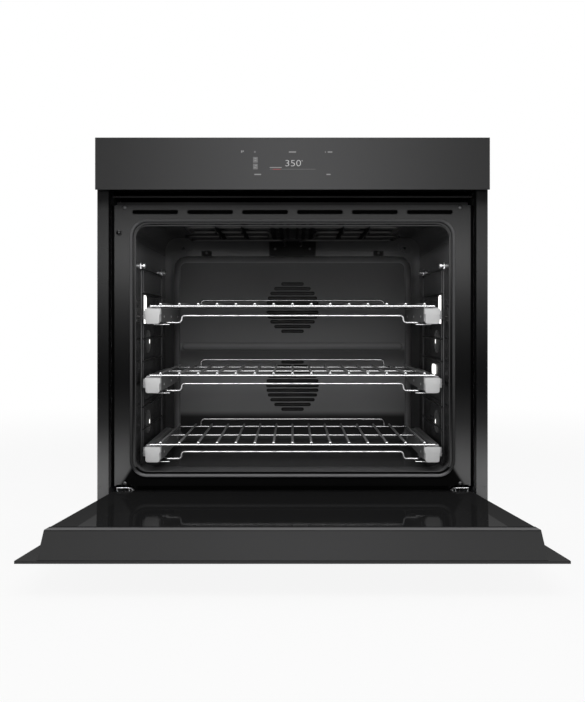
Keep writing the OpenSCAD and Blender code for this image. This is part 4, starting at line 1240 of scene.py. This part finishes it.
def cap_shape(side, level):
    """Cap: a wide upper part over a narrower lower one with round corners, drawn in at its edges.

    Its outline shrinks towards its middle by a share of 0.955, 0.98 and 0.995 before the
    full size, so that the front edge is rounded.
    """
    inner, outer = slide_in, cap_high[0]
    low, high = level - cap_drop - cap_tall, level - cap_drop
    step = high - cap_step
    corners = [(inner + 2.7 * mm, low), (outer - 0.8 * mm, low), (outer - 0.8 * mm, step),
               (outer + 0.6 * mm, step), (outer + 0.6 * mm, high), (inner + 0.6 * mm, high),
               (inner + 0.6 * mm, step), (inner + 2.7 * mm, step)]
    radius = np.array([5.0, 5.0, 0.3, 0.6, 1.8, 1.8, 0.6, 0.3]) * mm
    edge = closed_bent([(side * x, 0, z) for x, z in corners], radius, steps=6)
    middle = (edge.max(axis=0) + edge.min(axis=0)) / 2
    rows = [(0.955, 0.0), (0.98, 0.15), (0.995, 0.5), (1.0, 1.2), (1.0, 13.9), (0.96, 14.5)]
    rings = [middle + (edge - middle) * share + across * (cap_low[1] + depth * mm)
             for share, depth in rows]
    return shell(np.array(rings), loop_v=True, ends=True)


rack_names = ("top_rack", "middle_rack", "bottom_rack")
for k, body in enumerate(rack_names):
    piece(f"end_caps_{k + 1}", [cap_shape(side, levels[k]) for side in (-1, 1)],
          slide_cap, body, [f"slide_caps_{k + 1}"])

# Stiffener: a plate along the inner side of each slide, held by three rivets.
stiffener_grey = black_coat("stiffener_grey", (0.165, 0.165, 0.166), gloss=0.15)
plate_face = slide_in + 0.6 * mm
plate_thick = 1.2 * mm
rivet_shares = (0.127, 0.496, 0.88)
rivet_profile = np.array([(2.5, 0), (2.4, 0.35), (1.7, 0.7), (0.5, 0.85)]) * mm
rail_front, rail_back = (corner[1] for corner in flat_box("slide_inner_1"))
for k, body in enumerate(rack_names):
    low = (rail_front + 0.5 * mm, levels[k] - 31.5 * mm)
    high = (rail_back, levels[k] - 3.6 * mm)
    plates = [side_slab(side, plate_face, plate_face + plate_thick, low, high,
                        edge=0.2 * mm, corner=3 * mm) for side in (-1, 1)]
    piece(f"slide_plates_{k + 1}", plates, stiffener_grey, body)
    rivets = [turned((side * plate_face, rail_front + share * (rail_back - rail_front),
                      levels[k] - 20.5 * mm), (-side, 0, 0), rivet_profile, sides=14)
              for side in (-1, 1) for share in rivet_shares]
    piece(f"rail_rivets_{k + 1}", rivets, slide_cap, body)

# ---------------------------------------------------------------- racks
# Chromed wire racks: fifteen wires run front to back over three cross rails,
# with a guard rail behind and a stop wire that steps down under the slides.


def chrome(name, low, high, rough, metal):
    """Nickel-chrome plating with a haze between two greys, darkened towards the back as painted
    shade.
    """
    shader = Shader(name)
    haze = shader.noise(45.0)
    y = shader.axes()[1]
    plate = shader.mix(haze, (low, low, low * 1.01), (high, high, high * 1.01))
    return shader.finish(
        # Painted shade: darker towards the back of the rack.
        Base_Color=shader.mix(y.step(0.08, 0.28) * 0.35, plate, (0.0, 0.0, 0.0)),
        Metallic=metal, Roughness=haze * 0.06 + rough)


chrome_wire = chrome("chrome_wire", low=0.56, high=0.72, rough=0.20, metal=1.0)
# Painted shade: a darker, duller copy of the chrome for the long wires.
shaded_chrome = chrome("shaded_chrome", low=0.26, high=0.34, rough=0.45, metal=0.35)
wire_thick = 4.7 * mm
thin_wire = wire_thick - 0.5 * mm
catch_wire = 2.4 * mm
rack_front = cap_low[1] - 1 * mm
rack_deep = 330 * mm
rack_half = cap_high[0] - 10.5 * mm
rack_side = slide_in + 6.5 * mm
wire_step = 37.3 * mm
wire_places = [k * wire_step for k in range(-7, 8)]
wire_lift = wire_thick - 0.4 * mm
slide_drop = wire_thick + 28 * mm
stop_drop = 18.8 * mm
guard_rise = 17.3 * mm


def wire_end(place, axis, thick):
    """Ball at the end of a wire: radius r * cos(a) at height r * sin(a)."""
    angle = np.linspace(-1.2, 1.45, 9)
    profile = np.stack([np.cos(angle), np.sin(angle)], axis=-1) * thick / 2
    return turned(place, axis, profile, sides=14)


def rack_wires(level):
    """Rails, guard, stop and catches of one rack, and the balls in front of its long wires."""
    front, back = rack_front, rack_front + rack_deep
    rails = ((rack_half, front), (rack_side, front + rack_deep * 0.49), (rack_side, back))
    wires = [round_wire([(-half, y, level), (half, y, level)], upward, wire_thick)
             for half, y in rails]
    wires += [round_wire([(side * rack_side, front, level), (side * rack_side, back, level)],
                         upward, thin_wire) for side in (-1, 1)]
    wires += [wire_end((x, front - 1 * mm, level + wire_lift), -across, thick=6.8 * mm)
              for x in wire_places]
    guard = rack_half * 0.75
    guard_line = bent([(-guard, back, level), (-guard, back, level + guard_rise),
                       (guard, back, level + guard_rise), (guard, back, level)],
                      radius=11 * mm)
    stop_y, low_z, step_z = front + 38 * mm, level - slide_drop, level - stop_drop
    inner, outer = rack_half * 0.79, slide_in - 8 * mm
    stop_line = bent([(-outer, stop_y, low_z), (-inner - 2 * mm, stop_y, low_z),
                      (-inner, stop_y, step_z), (inner, stop_y, step_z),
                      (inner + 2 * mm, stop_y, low_z), (outer, stop_y, low_z)],
                     radius=6 * mm)
    wires += [round_wire(line, across, thin_wire) for line in (guard_line, stop_line)]
    aside = outer + 9 * mm
    catch_y, catch_z = front + 21 * mm, low_z - 3.6 * mm
    for side in (-1, 1):
        tail = bent([(side * outer, stop_y, low_z), (side * aside, stop_y + 14 * mm, low_z),
                     (side * aside, stop_y + 60 * mm, low_z)], radius=9 * mm)
        catch = bent([(side * 278 * mm, catch_y, catch_z + 6 * mm),
                      (side * 278 * mm, catch_y, catch_z),
                      (side * 246 * mm, catch_y, catch_z)], radius=2.5 * mm)
        wires += [round_wire(tail, upward, thin_wire), round_wire(catch, across, catch_wire)]
    return wires


def long_wires(level):
    """The fifteen wires of one rack that run from front to back over its cross rails."""
    top = level + wire_lift
    front, back = rack_front - 1 * mm, rack_front + rack_deep + 6 * mm
    return [round_wire([(x, front, top), (x, back, top)], rightward, wire_thick)
            for x in wire_places]


for k, body in enumerate(rack_names):
    piece(f"rack_wires_{k + 1}", rack_wires(levels[k]), chrome_wire, body,
          [f"rack_{k + 1}"])
    piece(f"rack_long_wires_{k + 1}", long_wires(levels[k]), shaded_chrome, body)

# ---------------------------------------------------------------- control fascia
# A sheet of graphite-backed glass with ground edges, glued to a folded carrier.
# The touch display shows through it: its digits are generic, its labels bars.


def graphite_glass():
    """Satin graphite print seen through the glass, with painted light that makes its middle paler.
    """
    shader = Shader("graphite_glass")
    x = shader.axes()[0]
    # Painted light: paler in the middle.
    centre_glow = 1 - (abs(x) / 0.40).step(0.0, 1.0)
    fine = shader.noise(1200.0, detail=2.0)
    return shader.finish(
        Base_Color=shader.mix(centre_glow, (0.010, 0.010, 0.0103), (0.049, 0.049, 0.050)),
        Roughness=fine * 0.06 + 0.30, Specular_IOR_Level=0.24)


fascia_low, fascia_high = flat_box("fascia_glass")
piece("fascia_panel", [slab(fascia_low, fascia_high, edge=0.6 * mm)], graphite_glass(),
      "oven", ["fascia_glass"])
glass_face = fascia_low[1]


def lit_print(name, colour, strength):
    """Screen light seen through the glass."""
    shader = Shader(name)
    cloud = shader.noise(300.0, detail=1.0)
    return shader.finish(Base_Color=(0.02, 0.02, 0.02), Roughness=0.3,
                         Emission_Color=shader.mix(cloud, colour, tuple(c * 0.9 for c in colour)),
                         Emission_Strength=strength)


def unlit_screen():
    """Black screen module behind the glass, with a satin bezel."""
    shader = Shader("display_black")
    fine = shader.noise(900.0, detail=2.0)
    return shader.finish(Base_Color=shader.mix(fine, (0.010, 0.010, 0.010), (0.014, 0.014, 0.014)),
                         Roughness=fine * 0.05 + 0.24)


dress(unlit_screen(), "display_module")
white_print = lit_print("label_white", (0.62, 0.62, 0.62), strength=0.8)
grey_print = lit_print("label_grey", (0.28, 0.28, 0.28), strength=0.8)
dim_print = lit_print("label_dim", (0.13, 0.13, 0.13), strength=0.8)
red_print = lit_print("label_red", (0.30, 0.035, 0.035), strength=0.9)


def print_bar(x, z, wide, tall):
    """Bar of print on the front of the glass, with its centre at x and z in millimetres."""
    return slab(((x - wide / 2) * mm, glass_face - 0.06 * mm, (z - tall / 2) * mm),
                ((x + wide / 2) * mm, glass_face + 0.04 * mm, (z + tall / 2) * mm),
                edge=0.02 * mm, corner=min(tall * 0.3, 0.4) * mm)


def digits(name, words, height, place, material):
    """Plain numbers in a light, wide face, made a mesh and stood on the glass."""
    curve = bpy.data.curves.new(name, "FONT")
    curve.body = words
    curve.size = height * 1.32
    curve.align_x = "CENTER"
    curve.align_y = "CENTER"
    curve.offset = -0.26 * mm
    curve.extrude = 0.04 * mm
    curve.resolution_u = 6
    mesh = filled_mesh(curve)
    stand_up(mesh, place, widen=1.22)
    return mounted(name, mesh, material, "oven", ())


digits("set_temperature", "350", 13.4 * mm, (0.9 * mm, glass_face - 0.05 * mm, 685.2 * mm),
       white_print)
degree_print = lit_print("label_light", (0.42, 0.42, 0.42), strength=0.8)
piece("degree_sign", [print_bar(18.4, 690.4, 1.9, 1.9)], degree_print, "oven")
piece("progress_done", [print_bar(-30.4, 674.2, 15.2, 1.3)], red_print, "oven")
piece("progress_left", [print_bar(11.0, 674.3, 66.6, 0.8), print_bar(-40.8, 674.3, 5.4, 0.8)],
      dim_print, "oven")
labels = [print_bar(*at) for at in (
    (-97.6, 708.1, 2.4, 4.2), (-94.6, 708.8, 2.0, 2.8), (0, 707.3, 14, 2.2),
    (63.1, 707.3, 1.4, 2.4), (72.0, 707.3, 9, 2.2), (-66.8, 664.3, 13, 2.2),
    (69.1, 664.3, 8, 2.2), (-32.2, 677.6, 23, 1.6))]
piece("label_bars", labels, grey_print, "oven")

# Icons: three dim boxes, and four marks that lie on the print of two of them.
piece("icon_boxes", [print_bar(-71.2, 692.3, 9.0, 10.8), print_bar(-71.2, 679.4, 9.0, 10.8),
                     print_bar(-72.2, 707.6, 3.4, 3.4)], dim_print, "oven")
icon_marks = [slab(((x - 1.8) * mm, glass_face - 0.11 * mm, (z - 0.6) * mm),
                   ((x + 1.8) * mm, glass_face - 0.04 * mm, (z + 0.6) * mm),
                   edge=0.02 * mm, corner=0.3 * mm)
              for x, z in ((-71.2, 695.0), (-71.2, 691.0), (-70.4, 681.6), (-72.0, 677.4))]
piece("icon_marks", icon_marks, grey_print, "oven")

# ---------------------------------------------------------------- door
# The whole front is one sheet of graphite-backed glass. A folded aluminium cap
# closes the top of the door and clamps the black-edged inner glass to its frame.

hinge_depth, hinge_level = 10.5 * mm, 45 * mm
hinge_inset = 34 * mm
door_turn = math.radians(85.8)


def door_axes(shader):
    """The point as on the closed door: to the right, inwards from its front face, and up.

    Turned back about the hinge, inwards is y * cos(t) + z * sin(t) plus the hinge's own
    place behind the face, and up is z * cos(t) - y * sin(t), with y and z from the hinge.
    """
    x, y, z = shader.axes()
    y, z = y - hinge_depth, z - hinge_level
    inwards = y * math.cos(door_turn) + z * math.sin(door_turn) + hinge_inset
    return x, inwards, z * math.cos(door_turn) - y * math.sin(door_turn)


def hard_shine(shader, share):
    """Share of a glass's shine that is left where the surface is seen edge-on."""
    edge_on = shader.node("LayerWeight", {}, {"Blend": 0.5})["Facing"]
    return (1 - edge_on.step(0.45, 0.98)) * (share - 0.02) + 0.02


def black_glass():
    """Black-printed glass with a hard, slightly rippled shine and a border from 0.31 m out."""
    shader = Shader("black_glass")
    x = shader.axes()[0]
    border = abs(x) > 0.310
    dull = abs(x).step(0.235, 0.300)
    smear = shader.noise(5.0, detail=4.0, stretch=(1, 2.5, 1))
    return shader.finish(
        Base_Color=shader.mix(border, (0.0145, 0.0145, 0.0148), (0.0175, 0.0175, 0.0178)),
        Roughness=0.4, Specular_IOR_Level=0.0, Coat_Roughness=0.04,
        Coat_Weight=(hard_shine(shader, 1.0) + smear * 0.01) * (1 - border * 0.35 - dull * 0.35))


dress(black_glass(), "door_inner_glass")


def front_glass():
    """Graphite print behind the front face of the glass, and black print behind its back."""
    shader = Shader("door_glass")
    inwards = door_axes(shader)[1]
    front = 1 - inwards.step(0.0015, 0.0020)
    fine = shader.noise(1200.0, detail=2.0)
    graphite = shader.mix(fine, (0.022, 0.022, 0.0225), (0.030, 0.030, 0.0305))
    return shader.finish(
        Base_Color=shader.mix(front, (0.010, 0.010, 0.0103), graphite),
        Roughness=0.5, Specular_IOR_Level=0.0, Coat_Roughness=0.24,
        Coat_Weight=front * 0.5 + (1 - front) * hard_shine(shader, 0.6))


dress(front_glass(), "door_outer_glass")


def brushed_graphite():
    """Anodised aluminium, brushed along its length, with a painted highlight along its clamping
    edge and painted light that makes its middle paler.
    """
    shader = Shader("graphite_metal")
    x, inwards, up = door_axes(shader)
    inner = inwards.step(0.0398, 0.0406)
    # Painted highlight along the clamping edge.
    edge = inner * up.step(0.521, 0.523)
    brushing = shader.noise(1600.0, detail=2.0, stretch=(0.02, 1, 1))
    cloud = shader.noise(4.0)
    # Painted light: paler in the middle.
    middle = 1 - (abs(x) / 0.36).step(0.0, 1.0)
    satin = shader.mix(cloud * 0.4 + middle * 0.6, (0.0195, 0.0195, 0.0198), (0.036, 0.036, 0.0366))
    return shader.finish(
        Base_Color=shader.mix(edge, satin, (0.34, 0.34, 0.343)), Metallic=0.0,
        Specular_IOR_Level=0.0, Coat_Roughness=0.40,
        Coat_Weight=(1 - inwards.step(0.0380, 0.0392)) * 0.4,
        Roughness=brushing * 0.12 + 0.34,
        Normal=shader.bump(brushing, depth=0.02 * mm, strength=0.3))


dress(brushed_graphite(), "door_top_cap")
door_steel = black_coat("door_steel", (0.006, 0.006, 0.0062), gloss=0.15)
dress(door_steel, "door_frame")


def clear_glass():
    """Low-iron middle panes, seen only at their edges."""
    shader = Shader("clear_glass")
    cloud = shader.noise(6.0)
    return shader.finish(Base_Color=shader.mix(cloud, (0.30, 0.38, 0.36), (0.36, 0.44, 0.42)),
                         Roughness=cloud * 0.02 + 0.03, Transmission_Weight=0.9, IOR=1.5)


dress(clear_glass(), "door_middle_glasses")

# ---------------------------------------------------------------- hinges
# Pressed hinge boxes in the door take the arms, which hook into the frame. A
# bright wire stirrup flips up over each arm to hold it when the door comes off.


def slab_line(line, front, back, thick):
    """Strip of that thickness, folded along a line of (x, z) places, from front to back."""
    path = np.array([(x, (front + back) / 2, z) for x, z in line])
    ring = np.array([(-thick, front - back), (thick, front - back),
                     (thick, back - front), (-thick, back - front)]) / 2
    return shell(carried(path, across, ring), loop_v=True, ends=True)


hinge_steel = bright_metal("hinge_steel", (0.016, 0.016, 0.0165), (0.026, 0.026, 0.027), rough=0.36)
dress(hinge_steel, "door_hinges", "hinge_arms", "door_glass_clips")
dress(bright_steel, "hinge_clamp_left", "hinge_clamp_right")

# Arm guides: a folded strip beside each arm, fixed to the frame.
guide_line = [(321 * mm, 54.6 * mm), (317 * mm, 54.6 * mm), (308 * mm, 45.5 * mm)]
guide_front, guide_back = 19.5 * mm, 29 * mm
guides = [slab_line([(side * x, z) for x, z in guide_line], guide_front, guide_back,
                    thick=1.5 * mm) for side in (-1, 1)]
piece("arm_guides", guides, bright_steel, "oven")

# ---------------------------------------------------------------- working parts
# What the casing hides: motors, fans, blower, duct, boards and switch, each in
# the plain finish that it has from its maker.

motor_steel = bright_metal("motor_steel", (0.36, 0.37, 0.38), (0.50, 0.51, 0.52), rough=0.34)
dress(motor_steel, "fan_motors", "blower_motor")
fan_steel = bright_metal("fan_steel", (0.004, 0.004, 0.004), (0.050, 0.050, 0.050), rough=0.40)
dress(fan_steel, "fan_wheel_upper", "fan_wheel_lower")
fan_aluminium = bright_metal("fan_aluminium", (0.62, 0.63, 0.64), (0.76, 0.77, 0.78), rough=0.28)
dress(fan_aluminium, "blower_wheel")
dress(zinc, "blower_housing")


def board_green():
    """Solder-masked board with a fine mottling."""
    shader = Shader("circuit_board")
    mottling = shader.noise(160.0)
    return shader.finish(
        Base_Color=shader.mix(mottling, (0.010, 0.075, 0.030), (0.02, 0.13, 0.05)),
        Roughness=mottling * 0.2 + 0.35)


dress(board_green(), "circuit_boards")
black_plastic = black_coat("black_plastic", (0.012, 0.012, 0.012), gloss=0.9, rough=0.15)
dress(black_plastic, "door_switch", "switch_plunger")
switch_centre = sum(flat_box("switch_plunger")) / 2
switch_centre[1] = frame_face
collar_section = np.array([(5.9, 0), (5.9, -1.2), (5.2, -2.2), (4.3, -2.4), (4.05, -1.6),
                           (4.05, 0)]) * mm


def collar(centre):
    """Rubber collar round the switch's button: its section turned about the button's axis."""
    sides = 28
    turn = np.arange(sides) * 2 * math.pi / sides
    out, along = collar_section[:, :1], collar_section[:, 1:]
    x = centre[0] + out * np.cos(turn)
    z = centre[2] + out * np.sin(turn)
    y = centre[1] + np.repeat(along, sides, axis=1)
    return shell(np.stack([x, y, z], axis=-1), loop_u=True, loop_v=True)


piece("switch_collar", [collar(switch_centre)], black_plastic, "oven")
